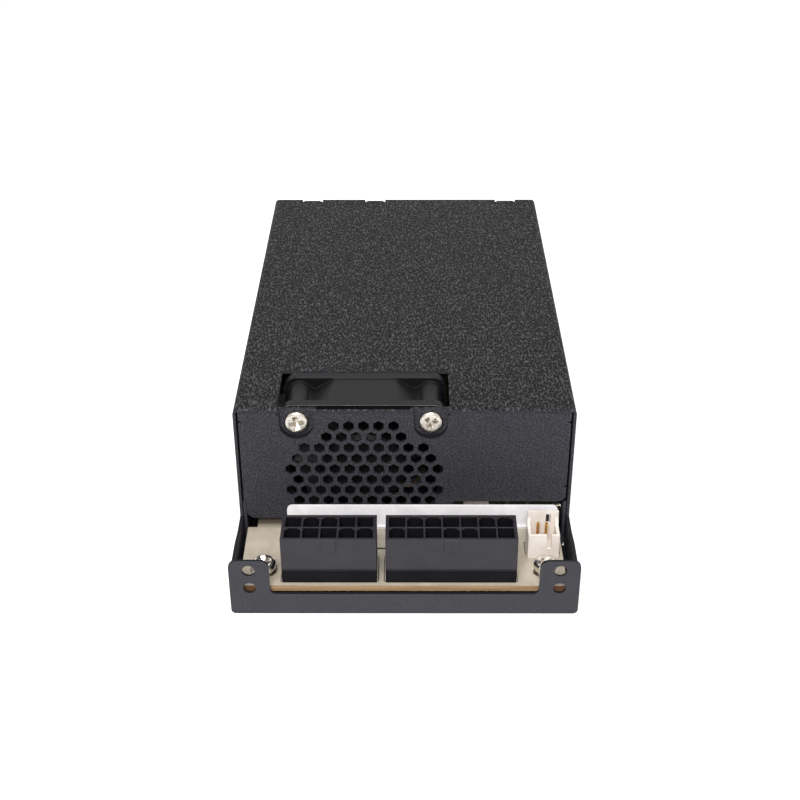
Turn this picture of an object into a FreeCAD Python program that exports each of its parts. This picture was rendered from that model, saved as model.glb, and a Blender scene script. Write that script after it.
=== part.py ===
import FreeCAD, Part
import math
import os
import Sketcher

# Flex ATX power supply with a connector shelf at the front.
# X points right, Y points to the rear, Z points up, and the origin is the middle of the base.
# All sizes are in millimetres.

DIMENSIONS = {
    # Case of folded sheet steel
    "case_width": 81.5,
    "case_height": 40.5,
    "case_length": 150.0,
    "sheet": 0.7,
    "bend_radius": 1.2,
    "bend_relief": 0.5,
    "fit_gap": 0.2,
    "shelf_depth": 25.4,
    # Tray
    "flange_height": 5.8,
    "ear_width": 9.4,
    "ear_height": 15.5,
    "ear_radius": 2.0,
    "ear_hole_radius": 1.5,
    "ear_hole_inset": 4.7,
    "ear_hole_low": 7.6,
    "ear_hole_step": 5.05,
    "shelf_wall_height": 10.7,
    "shelf_wall_dip": 1.0,
    "shelf_wall_ramp": 6.0,
    "tray_wall_height": 13.8,
    "rear_flange_depth": 9.0,
    "chassis_hole_radius": 1.45,
    "chassis_hole_inset": 5.2,
    # Cover
    "cover_lift": 0.3,
    "flap_edge_gap": 0.5,
    "flap_neck_step": 0.6,
    "flap_neck_height": 14.3,
    "flap_low_edge": 9.05,
    "flap_high_edge": 14.1,
    "flap_step_right": 1.9,
    "flap_radius": 2.0,
    "dimple_radius": 4.1,
    "dimple_depth": 1.6,
    "window_gap": 0.6,
    "window_rear_gap": 0.9,
    "relief_size": 0.9,
    "relief_drop": 3.3,
    "relief_rise": 4.6,
    "tab_width": 4.8,
    "tab_drop": 2.6,
    "tab_nick_radius": 0.75,
    "tab_left_inset": 11.75,
    "tab_middle_inset": 31.4,
    "tab_right_inset": 9.4,
    # Hexagon grilles
    "hex_pitch": 3.57,
    "hex_flats": 2.55,
    "grille_rim": 1.6,
    "grille_screw_clearance": 6.2,
    "vent_width": 22.0,
    "vent_height": 22.0,
    "vent_inset": 14.4,
    # Countersunk screws of the cover and the inlet
    "flat_head_radius": 2.7,
    "flat_head_depth": 1.3,
    "flat_shank_radius": 1.4,
    "flat_screw_length": 4.0,
    "cover_screw_inset": 5.0,
    "cover_screw_high": 31.0,
    "cover_screw_low": 8.8,
    # Fan
    "fan_offset": 9.75,
    "fan_depth": 15.0,
    "fan_flange": 2.3,
    "fan_hole_inset": 3.9,
    "fan_hole_radius": 2.15,
    "fan_pillar_radius": 3.0,
    "fan_corner_radius": 3.0,
    "fan_side_step": 0.25,
    "fan_panel_width": 15.2,
    "fan_valley_along": 12.3,
    "fan_valley_out": 16.9,
    "fan_rib_along": 15.6,
    "fan_rib_out": 18.9,
    "fan_bore_wall": 1.3,
    "fan_strut_width": 2.2,
    "fan_base_thickness": 2.0,
    "hub_radius": 10.5,
    "hub_wall": 0.9,
    "hub_rear": 3.4,
    "hub_front_gap": 1.0,
    "hub_face": 1.2,
    "hub_boss_radius": 2.2,
    "hub_boss_length": 2.4,
    "blade_count": 7,
    "blade_thickness": 1.0,
    "blade_root_half": 3.1,
    "blade_tip_half": 5.6,
    "blade_margin": 0.9,
    "blade_tip_gap": 1.6,
    "shaft_radius": 1.0,
    "shaft_start": 0.9,
    "running_gap": 0.05,
    "bearing_radius": 2.4,
    "bearing_length": 8.0,
    "bearing_tube_wall": 0.8,
    "magnet_thickness": 1.2,
    "magnet_length": 7.0,
    "air_gap": 0.35,
    "stator_length": 4.5,
    "stator_tooth_width": 2.4,
    "stator_shoe": 1.0,
    "coil_thickness": 0.9,
    "fan_board_thickness": 0.8,
    # Round-head screws
    "pan_head_radius": 2.85,
    "pan_head_height": 1.9,
    "pan_shank_radius": 1.45,
    "fan_head_height": 1.3,
    "fan_shank_radius": 2.0,
    "fan_screw_length": 8.0,
    "board_screw_length": 5.5,
    # Board and what carries it
    "standoff_height": 4.8,
    "standoff_radius": 2.6,
    "board_thickness": 1.6,
    "board_side_gap": 1.25,
    "board_front_gap": 0.9,
    "board_rear_gap": 2.2,
    "board_left_step": 2.3,
    "board_right_step": 0.7,
    "board_step_gap": 1.25,
    "board_window_gap": 0.8,
    "board_screw_inset": 7.45,
    "board_screw_front": 7.0,
    "board_screw_rear": 6.0,
    "insulation_thickness": 0.3,
    "flat_washer_radius": 3.2,
    "flat_washer_thickness": 0.5,
    "spring_washer_radius": 2.7,
    "spring_washer_thickness": 0.8,
    # Output headers
    "header_pitch": 4.2,
    "header_margin": 2.7,
    "header_depth": 9.6,
    "header_height": 12.8,
    "header_front": 2.4,
    "header_foot": 3.6,
    "header_foot_step": 0.25,
    "cavity_width": 3.75,
    "cavity_depth": 10.2,
    "cavity_chamfer": 0.95,
    "latch_width": 3.4,
    "latch_height": 3.0,
    "latch_depth": 0.9,
    "terminal_width": 1.05,
    "terminal_rise": 9.0,
    "terminal_tail": 2.6,
    "terminal_gap": 0.1,
    "header_right_inset": 14.55,
    "header_space": 2.07,
    # Small header
    "sense_width": 7.5,
    "sense_depth": 5.8,
    "sense_inset": 3.75,
    "sense_front": 11.9,
    "sense_wall": 0.8,
    "sense_low_height": 6.7,
    "sense_high_height": 10.1,
    "sense_slot": 1.15,
    "sense_slot_height": 3.9,
    "sense_pin_height": 8.4,
    "sense_pitch": 2.0,
    "sense_pin_shift": 0.35,
    "sense_pin": 0.6,
    # Baffle
    "baffle_thickness": 0.6,
    "baffle_gap": 0.5,
    "baffle_height": 6.4,
    "baffle_left_inset": 11.8,
    "baffle_right_inset": 3.1,
    "baffle_foot": 0.8,
    "baffle_radius": 1.3,
    "baffle_slot_width": 2.6,
    "baffle_slot_low": 0.9,
    "baffle_slot_height": 4.1,
    # Mains inlet
    "inlet_width": 27.0,
    "inlet_height": 19.6,
    "inlet_wall": 1.6,
    "inlet_corner": 5.2,
    "inlet_depth": 22.0,
    "inlet_cavity_depth": 16.5,
    "inlet_flange_width": 49.0,
    "inlet_flange_height": 22.0,
    "inlet_flange_thickness": 2.4,
    "inlet_screw_pitch": 40.0,
    "inlet_side_gap": 1.2,
    "inlet_centre_height": 21.0,
    "blade_pin_width": 2.0,
    "blade_pin_height": 4.0,
    "blade_pin_pitch": 14.0,
    "blade_pin_offset": 2.0,
    "blade_pin_tail": 3.0,
    "blade_pin_recess": 1.6,
    "lead_radius": 1.2,
    "lead_bend": 3.6,
    "lead_run": 4.2,
    # Mains side parts
    "x_cap_width": 17.5,
    "x_cap_depth": 8.5,
    "x_cap_height": 15.0,
    "y_cap_radius": 4.0,
    "disc_thickness": 3.4,
    "varistor_radius": 5.0,
    "fuse_radius": 2.6,
    "fuse_length": 20.0,
    "fuse_cap_length": 5.0,
    "line_choke_radius": 9.6,
    "line_choke_hole": 5.2,
    "line_choke_width": 9.0,
    "winding_build": 1.1,
    "winding_gap": 0.05,
    "choke_leg": 0.6,
    "disc_leg": 1.5,
    "disc_leg_radius": 0.35,
    "rear_margin": 2.0,
    "x_cap_inset": 10.4,
    "line_choke_inset": 15.0,
    "line_choke_rear": 23.5,
    "y_cap_inset": 5.2,
    "y_cap_rear": 17.0,
    "disc_spacing": 11.0,
    "varistor_inset": 6.0,
    "varistor_rear": 18.9,
    # Primary side parts
    "heatsink_thickness": 3.0,
    "heatsink_height": 25.0,
    "heatsink_fold": 6.0,
    "heatsink_wall_gap": 3.2,
    "primary_heatsink_length": 50.0,
    "primary_heatsink_rear": 26.0,
    "transistor_width": 10.0,
    "transistor_body": 9.0,
    "transistor_thickness": 4.4,
    "transistor_tab": 1.3,
    "transistor_tab_height": 6.0,
    "transistor_lead": 4.0,
    "transistor_inset": 8.0,
    "transistor_pitch": 12.0,
    "bulk_cap_radius": 10.8,
    "bulk_cap_headroom": 2.6,
    "bulk_cap_gap": 3.0,
    "bulk_cap_rear_gap": 1.6,
    "pfc_choke_radius": 9.4,
    "pfc_choke_hole": 5.0,
    "pfc_choke_width": 9.5,
    "pfc_choke_gap": 2.7,
    "pfc_choke_step": 7.0,
    "bridge_width": 20.0,
    "bridge_height": 16.0,
    "bridge_thickness": 3.6,
    "bridge_inset": 14.0,
    # Transformers and secondary side parts
    "core_width": 30.0,
    "core_height": 26.0,
    "core_depth": 11.0,
    "core_leg": 8.0,
    "core_back": 4.4,
    "winding_overhang": 6.0,
    "transformer_shift": 13.25,
    "transformer_back": 31.8,
    "standby_core_width": 11.0,
    "standby_core_height": 13.0,
    "standby_core_depth": 5.0,
    "standby_core_leg": 3.2,
    "standby_core_back": 2.0,
    "standby_winding_overhang": 3.2,
    "standby_inset": 8.15,
    "standby_back": 10.3,
    "secondary_heatsink_length": 40.0,
    "secondary_heatsink_front": 4.0,
    "secondary_heatsink_inset": 2.65,
    "rectifier_pitch": 14.0,
    "output_choke_radius": 8.6,
    "output_choke_hole": 4.6,
    "output_choke_width": 9.0,
    "output_choke_gap": 0.8,
    "output_choke_front": 3.0,
    "output_cap_radius": 4.0,
    "output_cap_height": 16.0,
    "output_cap_pitch": 9.2,
    "output_cap_step": 16.0,
    "output_cap_front": 5.8,
    "output_cap_row": 8.2,
    "opto_width": 6.4,
    "opto_depth": 4.6,
    "opto_height": 3.4,
    "opto_pitch": 6.2,
    "opto_gap": 2.3,
    "opto_front": 9.8,
    "control_board_length": 17.0,
    "control_board_height": 18.0,
    "control_board_thickness": 1.2,
    "control_board_gap": 6.6,
    "shunt_radius": 0.8,
    "shunt_span": 5.0,
    "shunt_rise": 4.0,
    "shunt_step": 10.5,
    "plug_width": 6.2,
    "plug_depth": 4.4,
    "fan_header_height": 3.2,
    "fan_plug_height": 3.6,
    "plug_reach": 7.85,
    "plug_back": 5.5,
    "fan_wire_radius": 0.55,
    "fan_wire_pitch": 2.0,
    "fan_wire_bend": 3.0,
}

doc = FreeCAD.newDocument("flex_power_supply")


def value_of(amount):
    return amount.value if isinstance(amount, Size) else float(amount)


def formula_of(amount):
    return amount.formula if isinstance(amount, Size) else repr(float(amount))


class Size:
    """A size that carries its value and the sheet formula behind it."""

    def __init__(self, value, formula):
        self.value = value
        self.formula = formula

    def __add__(self, other):
        return Size(self.value + value_of(other), f"({self.formula} + {formula_of(other)})")

    def __radd__(self, other):
        return Size(value_of(other) + self.value, f"({formula_of(other)} + {self.formula})")

    def __sub__(self, other):
        return Size(self.value - value_of(other), f"({self.formula} - {formula_of(other)})")

    def __rsub__(self, other):
        return Size(value_of(other) - self.value, f"({formula_of(other)} - {self.formula})")

    def __mul__(self, other):
        return Size(self.value * value_of(other), f"({self.formula} * {formula_of(other)})")

    def __rmul__(self, other):
        return Size(value_of(other) * self.value, f"({formula_of(other)} * {self.formula})")

    def __truediv__(self, other):
        return Size(self.value / value_of(other), f"({self.formula} / {formula_of(other)})")

    def __neg__(self):
        return Size(-self.value, f"(-1 * {self.formula})")


class Sheet:
    """The sizes of the sheet, each under its own name."""

    def __init__(self, dimensions):
        cells = doc.addObject("Spreadsheet::Sheet", "Sizes")
        for row, (name, number) in enumerate(dimensions.items(), start=1):
            cells.set(f"A{row}", name)
            cells.set(f"B{row}", str(number))
            cells.setAlias(f"B{row}", name)
            setattr(self, name, Size(float(number), f"Sizes.{name}"))
        doc.recompute()


size = Sheet(DIMENSIONS)
pieces = []

UPRIGHT = FreeCAD.Rotation()
FACING_FRONT = FreeCAD.Rotation(FreeCAD.Vector(1, 0, 0), 90)
FACING_REAR = FreeCAD.Rotation(FreeCAD.Vector(1, 0, 0), -90)
FACING_RIGHT = FreeCAD.Rotation(FreeCAD.Vector(0, 1, 0), 90)
FACING_LEFT = FreeCAD.Rotation(FreeCAD.Vector(0, 1, 0), -90)
# Local Z to the right and local X to the rear.
ON_EDGE = FreeCAD.Rotation(FreeCAD.Vector(0, 1, 0), FreeCAD.Vector(0, 0, 1), FreeCAD.Vector(1, 0, 0), "ZXY")

# A sketch on the XZ plane faces -Y, and the others face along their own axis.
PLANE_SIDE = {"XY_Plane": 1, "XZ_Plane": -1, "YZ_Plane": 1}
AXIS_NAMES = "xyz"


# Helpers for bound objects

def bind(item, path, amount):
    item.setExpression(path, formula_of(amount))


def place(item, at, rotation=UPRIGHT):
    item.Placement = FreeCAD.Placement(FreeCAD.Vector(), rotation)
    for axis, amount in zip(AXIS_NAMES, at):
        bind(item, f"Placement.Base.{axis}", amount)
    return item


def keep(label, item):
    """Names a finished piece and puts it on the list of pieces."""
    item.Label = label
    pieces.append(item)
    return item


def block(x, y, z):
    """A box between a low and a high place on each axis."""
    box = doc.addObject("Part::Box", "block")
    for side, (low, high) in zip(("Length", "Width", "Height"), (x, y, z)):
        bind(box, side, high - low)
    return place(box, (x[0], y[0], z[0]))


def rod(at, radius, length, rotation=UPRIGHT):
    cylinder = doc.addObject("Part::Cylinder", "rod")
    bind(cylinder, "Radius", radius)
    bind(cylinder, "Height", length)
    return place(cylinder, at, rotation)


def cone(at, radius, end_radius, length, rotation=UPRIGHT):
    shape = doc.addObject("Part::Cone", "cone")
    bind(shape, "Radius1", radius)
    bind(shape, "Radius2", end_radius)
    bind(shape, "Height", length)
    return place(shape, at, rotation)


def fuse(*items):
    joined = doc.addObject("Part::MultiFuse", "fuse")
    joined.Shapes = list(items)
    joined.Refine = True
    return joined


def cut(base, *tools):
    result = doc.addObject("Part::Cut", "cut")
    result.Base = base
    result.Tool = tools[0] if len(tools) == 1 else group(tools)
    return result


def group(items):
    together = doc.addObject("Part::Compound", "group")
    together.Links = list(items)
    return together


def copies(master, places, rotation=UPRIGHT):
    """One solid repeated at several places, as separate solids of one group."""
    links = []
    for spot in places:
        link = doc.addObject("App::Link", "copy")
        link.LinkedObject = master
        links.append(place(link, spot, rotation))
    return group(links)


# Helpers for bodies drawn with sketches

def new_body(at=(0, 0, 0), rotation=UPRIGHT):
    return place(doc.addObject("PartDesign::Body", "body"), at, rotation)


def origin_part(body, role):
    return next(feature for feature in body.Origin.OriginFeatures if feature.Role == role)


def hold(sketch, geometry, point, u, v):
    """Ties a sketch point to its two distances from the sketch's origin."""
    for kind, amount in (("DistanceX", u), ("DistanceY", v)):
        tie = Sketcher.Constraint(kind, -1, 1, geometry, point, value_of(amount))
        number = sketch.addConstraint(tie)
        bind(sketch, f"Constraints[{number}]", amount)


def add_polygon(sketch, corners):
    first = sketch.GeometryCount
    count = len(corners)
    spots = [FreeCAD.Vector(value_of(u), value_of(v), 0) for u, v in corners]
    for i in range(count):
        sketch.addGeometry(Part.LineSegment(spots[i], spots[(i + 1) % count]), False)
    for i in range(count):
        joint = Sketcher.Constraint("Coincident", first + i, 2, first + (i + 1) % count, 1)
        sketch.addConstraint(joint)
    for i, (u, v) in enumerate(corners):
        hold(sketch, first + i, 1, u, v)


def add_circle(sketch, u, v, radius):
    centre = FreeCAD.Vector(value_of(u), value_of(v), 0)
    circle = Part.Circle(centre, FreeCAD.Vector(0, 0, 1), value_of(radius))
    geometry = sketch.addGeometry(circle, False)
    hold(sketch, geometry, 3, u, v)
    number = sketch.addConstraint(Sketcher.Constraint("Radius", geometry, value_of(radius)))
    bind(sketch, f"Constraints[{number}]", radius)


def outline(body, plane, level, loops):
    """A sketch of closed loops: lists of corners, or circles as (u, v, radius)."""
    sketch = body.newObject("Sketcher::SketchObject", "outline")
    sketch.AttachmentSupport = (origin_part(body, plane), [""])
    sketch.MapMode = "FlatFace"
    bind(sketch, "AttachmentOffset.Base.z", level * PLANE_SIDE[plane])
    for loop in loops:
        if isinstance(loop, tuple):
            add_circle(sketch, *loop)
        else:
            add_polygon(sketch, loop)
    return sketch


def around(middle, half):
    """The low and high place at equal distances from a middle."""
    return (middle - half, middle + half)


def rectangle(u, v):
    return [(u[0], v[0]), (u[1], v[0]), (u[1], v[1]), (u[0], v[1])]


def grow(body, plane, span, loops):
    """Adds material over a span along the plane's axis."""
    pad = body.newObject("PartDesign::Pad", "pad")
    pad.Profile = outline(body, plane, span[0], loops)
    bind(pad, "Length", span[1] - span[0])
    pad.Reversed = PLANE_SIDE[plane] < 0
    doc.recompute()
    return pad


def carve(body, plane, span, loops):
    """Takes material away over a span along the plane's axis."""
    before = body.Shape.Volume
    pocket = body.newObject("PartDesign::Pocket", "pocket")
    pocket.Profile = outline(body, plane, span[0], loops)
    bind(pocket, "Length", span[1] - span[0])
    pocket.Reversed = PLANE_SIDE[plane] > 0
    doc.recompute()
    if body.Shape.Volume >= before:
        raise ValueError(f"{pocket.Name} takes nothing away")
    return pocket


def turn(body, loops, angle=360):
    """Turns an outline of (radius, height) corners about the body's Z axis."""
    revolution = body.newObject("PartDesign::Revolution", "revolution")
    sketch = outline(body, "XZ_Plane", 0, loops)
    revolution.Profile = sketch
    revolution.ReferenceAxis = (sketch, ["V_Axis"])
    revolution.Angle = angle
    doc.recompute()
    return revolution


def mirror(body, features, role):
    mirrored = body.newObject("PartDesign::Mirrored", "mirrored")
    mirrored.Originals = features
    mirrored.MirrorPlane = (origin_part(body, role), [""])
    body.Tip = mirrored
    doc.recompute()


def repeat_round(body, feature, count):
    pattern = body.newObject("PartDesign::PolarPattern", "pattern")
    pattern.Originals = [feature]
    pattern.Axis = (origin_part(body, "Z_Axis"), [""])
    pattern.Angle = 360
    bind(pattern, "Occurrences", count)
    body.Tip = pattern
    doc.recompute()


def edges_along(shape, axis, spots):
    """Names the straight edges along an axis that pass through given places on the other two."""
    along = AXIS_NAMES.index(axis)
    across = [i for i in range(3) if i != along]
    wanted = [(value_of(a), value_of(b)) for a, b in spots]
    names = []
    for number, edge in enumerate(shape.Edges, start=1):
        start, end = edge.Vertexes[0].Point, edge.Vertexes[-1].Point
        straight = all(abs(start[i] - end[i]) < 1e-4 for i in across)
        if not straight or abs(start[along] - end[along]) < 1e-4:
            continue
        for spot in wanted:
            if all(abs(start[i] - place_value) < 1e-3 for i, place_value in zip(across, spot)):
                names.append(f"Edge{number}")
    return names


def round_edges(body, radius, **spots):
    """Rounds the straight edges along x, y or z that pass through given places."""
    feature = body.Tip
    names = []
    for axis, places in spots.items():
        names += edges_along(feature.Shape, axis, places)
    fillet = body.newObject("PartDesign::Fillet", "fillet")
    fillet.Base = (feature, names)
    bind(fillet, "Radius", radius)
    doc.recompute()
    return fillet


def hexagons(centre, low, high, allowed):
    """Prisms of a hexagon grille, standing along Y, on the spots that are allowed."""
    pitch = size.hex_pitch.value
    row_step = pitch * math.sqrt(3) / 2
    reach = size.hex_flats.value / math.sqrt(3)
    prisms = []
    rows = range(-12, 13)
    for row in rows:
        shift = 0 if row % 2 == 0 else pitch / 2
        for column in rows:
            x = centre[0] + column * pitch + shift + pitch / 2
            z = centre[1] + row * row_step
            if not allowed(x, z):
                continue
            angles = [math.radians(90 + 60 * i) for i in range(7)]
            ring = [FreeCAD.Vector(x + reach * math.cos(a), low, z + reach * math.sin(a)) for a in angles]
            face = Part.Face(Part.makePolygon(ring))
            prisms.append(face.extrude(FreeCAD.Vector(0, high - low, 0)))
    grille = doc.addObject("Part::Feature", "grille")
    grille.Shape = Part.makeCompound(prisms)
    return grille


def lead(points, radius, bend):
    """A wire of straight runs with one tangent arc at each corner."""
    spots = [FreeCAD.Vector(*(value_of(c) for c in point)) for point in points]
    bend_radius = value_of(bend)
    edges = []
    start = spots[0]
    for before, corner, after in zip(spots, spots[1:], spots[2:]):
        back = (before - corner).normalize()
        onward = (after - corner).normalize()
        half_turn = back.getAngle(onward) / 2
        trim = bend_radius / math.tan(half_turn)
        arc_start = corner + back * trim
        arc_end = corner + onward * trim
        middle = corner + (back + onward).normalize() * (bend_radius / math.sin(half_turn) - bend_radius)
        edges.append(Part.LineSegment(start, arc_start).toShape())
        edges.append(Part.Arc(arc_start, middle, arc_end).toShape())
        start = arc_end
    edges.append(Part.LineSegment(start, spots[-1]).toShape())
    section = Part.Wire(Part.makeCircle(value_of(radius), spots[0], spots[1] - spots[0]))
    wire = doc.addObject("Part::Feature", "lead")
    wire.Shape = Part.Wire(edges).makePipeShell([section], True, False)
    return wire


# Places shared by several pieces

half_width = size.case_width / 2
front = -size.case_length / 2
rear = size.case_length / 2
case_top = size.case_height * 1
under_top = size.case_height - size.sheet
flap_front = front + size.shelf_depth
flap_rear = flap_front + size.sheet
cover_inner = half_width - size.sheet
tray_outer = cover_inner - size.fit_gap
tray_inner = tray_outer - size.sheet
panel_inner = rear - size.sheet
fan_size = size.case_height - size.sheet
fan_x = -size.fan_offset
fan_z = size.sheet + fan_size / 2
fan_front = flap_rear + size.dimple_depth
fan_rear = fan_front + size.fan_depth
fan_hole = fan_size / 2 - size.fan_hole_inset
fan_bore = fan_size / 2 - size.fan_bore_wall
board_bottom = size.sheet + size.standoff_height
board_top = board_bottom + size.board_thickness
board_half = cover_inner - size.board_side_gap
board_front = front + size.sheet + size.board_front_gap
board_rear = panel_inner - size.board_rear_gap
board_step = flap_front - size.board_step_gap
board_left = -board_half + size.board_left_step
board_right = board_half - size.board_right_step
board_screw_x = half_width - size.board_screw_inset
board_screw_spots = [
    (-board_screw_x, front + size.board_screw_front),
    (board_screw_x, front + size.board_screw_front),
    (-board_screw_x, board_rear - size.board_screw_rear),
    (board_screw_x, board_rear - size.board_screw_rear),
]
header_right = half_width - size.header_right_inset
header_front = front + size.header_front
header_rear = header_front + size.header_depth
inlet_x = tray_inner - size.inlet_side_gap - size.inlet_flange_width / 2
inlet_z = size.inlet_centre_height * 1
inlet_rear = panel_inner - size.inlet_depth
inlet_screw_spots = [
    (inlet_x - size.inlet_screw_pitch / 2, rear, inlet_z),
    (inlet_x + size.inlet_screw_pitch / 2, rear, inlet_z),
]
cover_screw_spots = [
    (rear - size.cover_screw_inset, size.cover_screw_high),
    (flap_rear + size.cover_screw_inset, size.cover_screw_low),
]
hub_front = size.fan_depth - size.hub_front_gap
bearing_bore = size.bearing_radius + size.running_gap
bearing_tube = bearing_bore + size.bearing_tube_wall
magnet_outer = size.hub_radius - size.hub_wall - size.running_gap
magnet_inner = magnet_outer - size.magnet_thickness
stator_outer = magnet_inner - size.air_gap
fan_board_top = size.fan_base_thickness + size.fan_board_thickness
bearing_start = size.shaft_start - size.running_gap * 2
stator_low = fan_board_top + size.coil_thickness + size.running_gap
sense_right = half_width - size.sense_inset
sense_front = front + size.sense_front
blade_end = inlet_rear - size.blade_pin_tail
lead_y = blade_end - size.lead_run
fuse_x = inlet_x - size.inlet_width / 2 - size.fuse_radius * 2.3
fuse_start = board_rear - size.rear_margin - size.fuse_length
fuse_z = board_top + size.sheet + size.fuse_radius
varistor_x = fuse_x - size.varistor_inset
varistor_y = board_rear - size.varistor_rear
y_cap_x = size.y_cap_inset - tray_inner
y_cap_y = board_rear - size.y_cap_rear
primary_right = tray_inner - size.heatsink_wall_gap
primary_x = (primary_right - size.heatsink_thickness, primary_right)
primary_rear = board_rear - size.primary_heatsink_rear
primary_y = (primary_rear - size.primary_heatsink_length, primary_rear)
bridge_y = primary_rear - size.bridge_inset
bulk_x = primary_x[0] - size.bridge_thickness - size.bulk_cap_gap - size.bulk_cap_radius
bulk_y = lead_y - size.lead_radius - size.bulk_cap_rear_gap - size.bulk_cap_radius
wound = size.winding_build + size.winding_gap
pfc_x = bulk_x - size.bulk_cap_radius - size.pfc_choke_gap - size.pfc_choke_radius - wound
pfc_y = bulk_y - size.pfc_choke_step
secondary_left = board_left + size.secondary_heatsink_inset
secondary_x = (secondary_left, secondary_left + size.heatsink_thickness)
secondary_front = fan_rear + size.secondary_heatsink_front
secondary_y = (secondary_front, secondary_front + size.secondary_heatsink_length)
choke_reach = size.output_choke_radius + wound
output_choke_x = secondary_x[1] + size.transistor_thickness + size.output_choke_gap + choke_reach
output_choke_y = fan_rear + size.output_choke_front + choke_reach
output_cap_x = output_choke_x + size.output_cap_step
output_cap_y = fan_rear + size.output_cap_front
transformer_x = fan_x + size.transformer_shift
transformer_y = fan_rear + size.transformer_back
standby_x = tray_inner - size.standby_inset
standby_y = fan_rear + size.standby_back
control_x = transformer_x - size.core_width / 2 - size.control_board_gap
opto_x = transformer_x + size.core_width / 2 + size.opto_gap
opto_y = transformer_y - size.opto_front
fan_plug_x = fan_x + fan_size / 2 + size.plug_reach
fan_plug_y = fan_front + size.plug_back
fan_plug_top = board_top + size.fan_header_height + size.fan_plug_height
shunt_x = fan_plug_x + size.shunt_step


def header_width(columns):
    return size.header_pitch * (columns - 1) + size.header_margin * 2


def flat_screw(clearance):
    """Cutter or body of a countersunk screw, head face at the origin, pointing down its Z axis."""
    body = new_body()
    head = size.flat_head_radius + clearance
    shank = size.flat_shank_radius + clearance
    deep = -size.flat_head_depth
    tip = -size.flat_screw_length
    turn(body, [[(0, 0), (head, 0), (shank, deep), (shank, tip), (0, tip)]])
    return body


def sunk_screws(clearance):
    """The countersunk screws of both case sides."""
    master = flat_screw(clearance)
    right = copies(master, [(half_width, y, z) for y, z in cover_screw_spots], FACING_RIGHT)
    left = copies(master, [(-half_width, y, z) for y, z in cover_screw_spots], FACING_LEFT)
    return right, left


def base_tray():
    """Floor, front flange with ears, side walls and rear panel, folded from one sheet."""
    body = new_body()
    shelf_rear = flap_front - size.fit_gap
    wall_front = shelf_rear + size.bend_relief
    relief = tray_outer - size.bend_radius - size.fit_gap
    floor = [
        (-half_width, front), (half_width, front), (half_width, shelf_rear), (relief, shelf_rear),
        (relief, wall_front), (tray_outer, wall_front), (tray_outer, rear), (-tray_outer, rear),
        (-tray_outer, wall_front), (-relief, wall_front), (-relief, shelf_rear), (-half_width, shelf_rear),
    ]
    grow(body, "XY_Plane", (0, size.sheet), [floor])
    ear_inner = half_width - size.ear_width
    flange = [
        (-half_width, 0), (half_width, 0), (half_width, size.ear_height), (ear_inner, size.ear_height),
        (ear_inner, size.flange_height), (-ear_inner, size.flange_height),
        (-ear_inner, size.ear_height), (-half_width, size.ear_height),
    ]
    grow(body, "XZ_Plane", (front, front + size.sheet), [flange])
    low_wall = size.shelf_wall_height - size.shelf_wall_dip
    flange_rear = front + size.sheet
    shelf_wall = [
        (flange_rear, 0), (shelf_rear, 0), (shelf_rear, low_wall),
        (shelf_rear - size.shelf_wall_ramp, low_wall),
        (shelf_rear - size.shelf_wall_ramp * 2, size.shelf_wall_height),
        (flange_rear, size.shelf_wall_height),
    ]
    wall = grow(body, "YZ_Plane", (cover_inner, half_width), [shelf_wall])
    tray_wall = rectangle((wall_front, rear), (0, size.tray_wall_height))
    inner_wall = grow(body, "YZ_Plane", (tray_inner, tray_outer), [tray_wall])
    panel_top = under_top - size.fit_gap
    side_return = rectangle((rear - size.rear_flange_depth, rear), (0, panel_top - size.sheet))
    return_flange = grow(body, "YZ_Plane", (tray_inner, tray_outer), [side_return])
    mirror(body, [wall, inner_wall, return_flange], "YZ_Plane")
    grow(body, "XZ_Plane", (panel_inner, rear), [rectangle((-tray_outer, tray_outer), (0, panel_top))])
    ear_hole_x = half_width - size.ear_hole_inset
    ear_holes = []
    for x in (-ear_hole_x, ear_hole_x):
        for z in (size.ear_hole_low, size.ear_hole_low + size.ear_hole_step):
            ear_holes.append((x, z, size.ear_hole_radius))
    carve(body, "XZ_Plane", (front, front + size.sheet), ear_holes)
    chassis_x = tray_outer - size.chassis_hole_inset
    chassis_z = case_top - size.chassis_hole_inset
    rear_holes = [(x, chassis_z, size.chassis_hole_radius) for x in (-chassis_x, chassis_x)]
    rear_holes.append(inlet_outline(size.fit_gap))
    carve(body, "XZ_Plane", (panel_inner, rear), rear_holes)
    ears = [(x, size.ear_height) for x in (-half_width, half_width, -ear_inner, ear_inner)]
    round_edges(body, size.ear_radius, y=ears)
    notch = [(-ear_inner, size.flange_height), (ear_inner, size.flange_height)]
    round_edges(body, size.ear_radius * 0.75, y=notch)
    bends = [(x, 0) for x in (-half_width, half_width, -tray_outer, tray_outer)]
    round_edges(body, size.bend_radius, y=bends)
    round_edges(body, size.bend_radius, x=[(rear, 0)])
    vent_x = -tray_inner + size.vent_inset
    vent_half = (size.vent_width / 2).value
    vent_reach = (size.vent_height / 2).value
    centre = (vent_x.value, inlet_z.value)

    def in_vent(x, z):
        return abs(x - centre[0]) < vent_half and abs(z - centre[1]) < vent_reach

    vent = hexagons(centre, panel_inner.value, rear.value, in_vent)
    inlet_screw_holes = copies(flat_screw(size.fit_gap / 2), inlet_screw_spots, FACING_REAR)
    return cut(body, vent, inlet_screw_holes, *sunk_screws(size.fit_gap / 2))


def inlet_outline(gap):
    """Front outline of the mains inlet with its two cut lower corners."""
    half = size.inlet_width / 2 + gap
    tall = size.inlet_height / 2 + gap
    corner = size.inlet_corner
    return [
        (inlet_x - half, inlet_z + tall), (inlet_x - half, inlet_z - tall + corner),
        (inlet_x - half + corner, inlet_z - tall), (inlet_x + half - corner, inlet_z - tall),
        (inlet_x + half, inlet_z - tall + corner), (inlet_x + half, inlet_z + tall),
    ]


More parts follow.
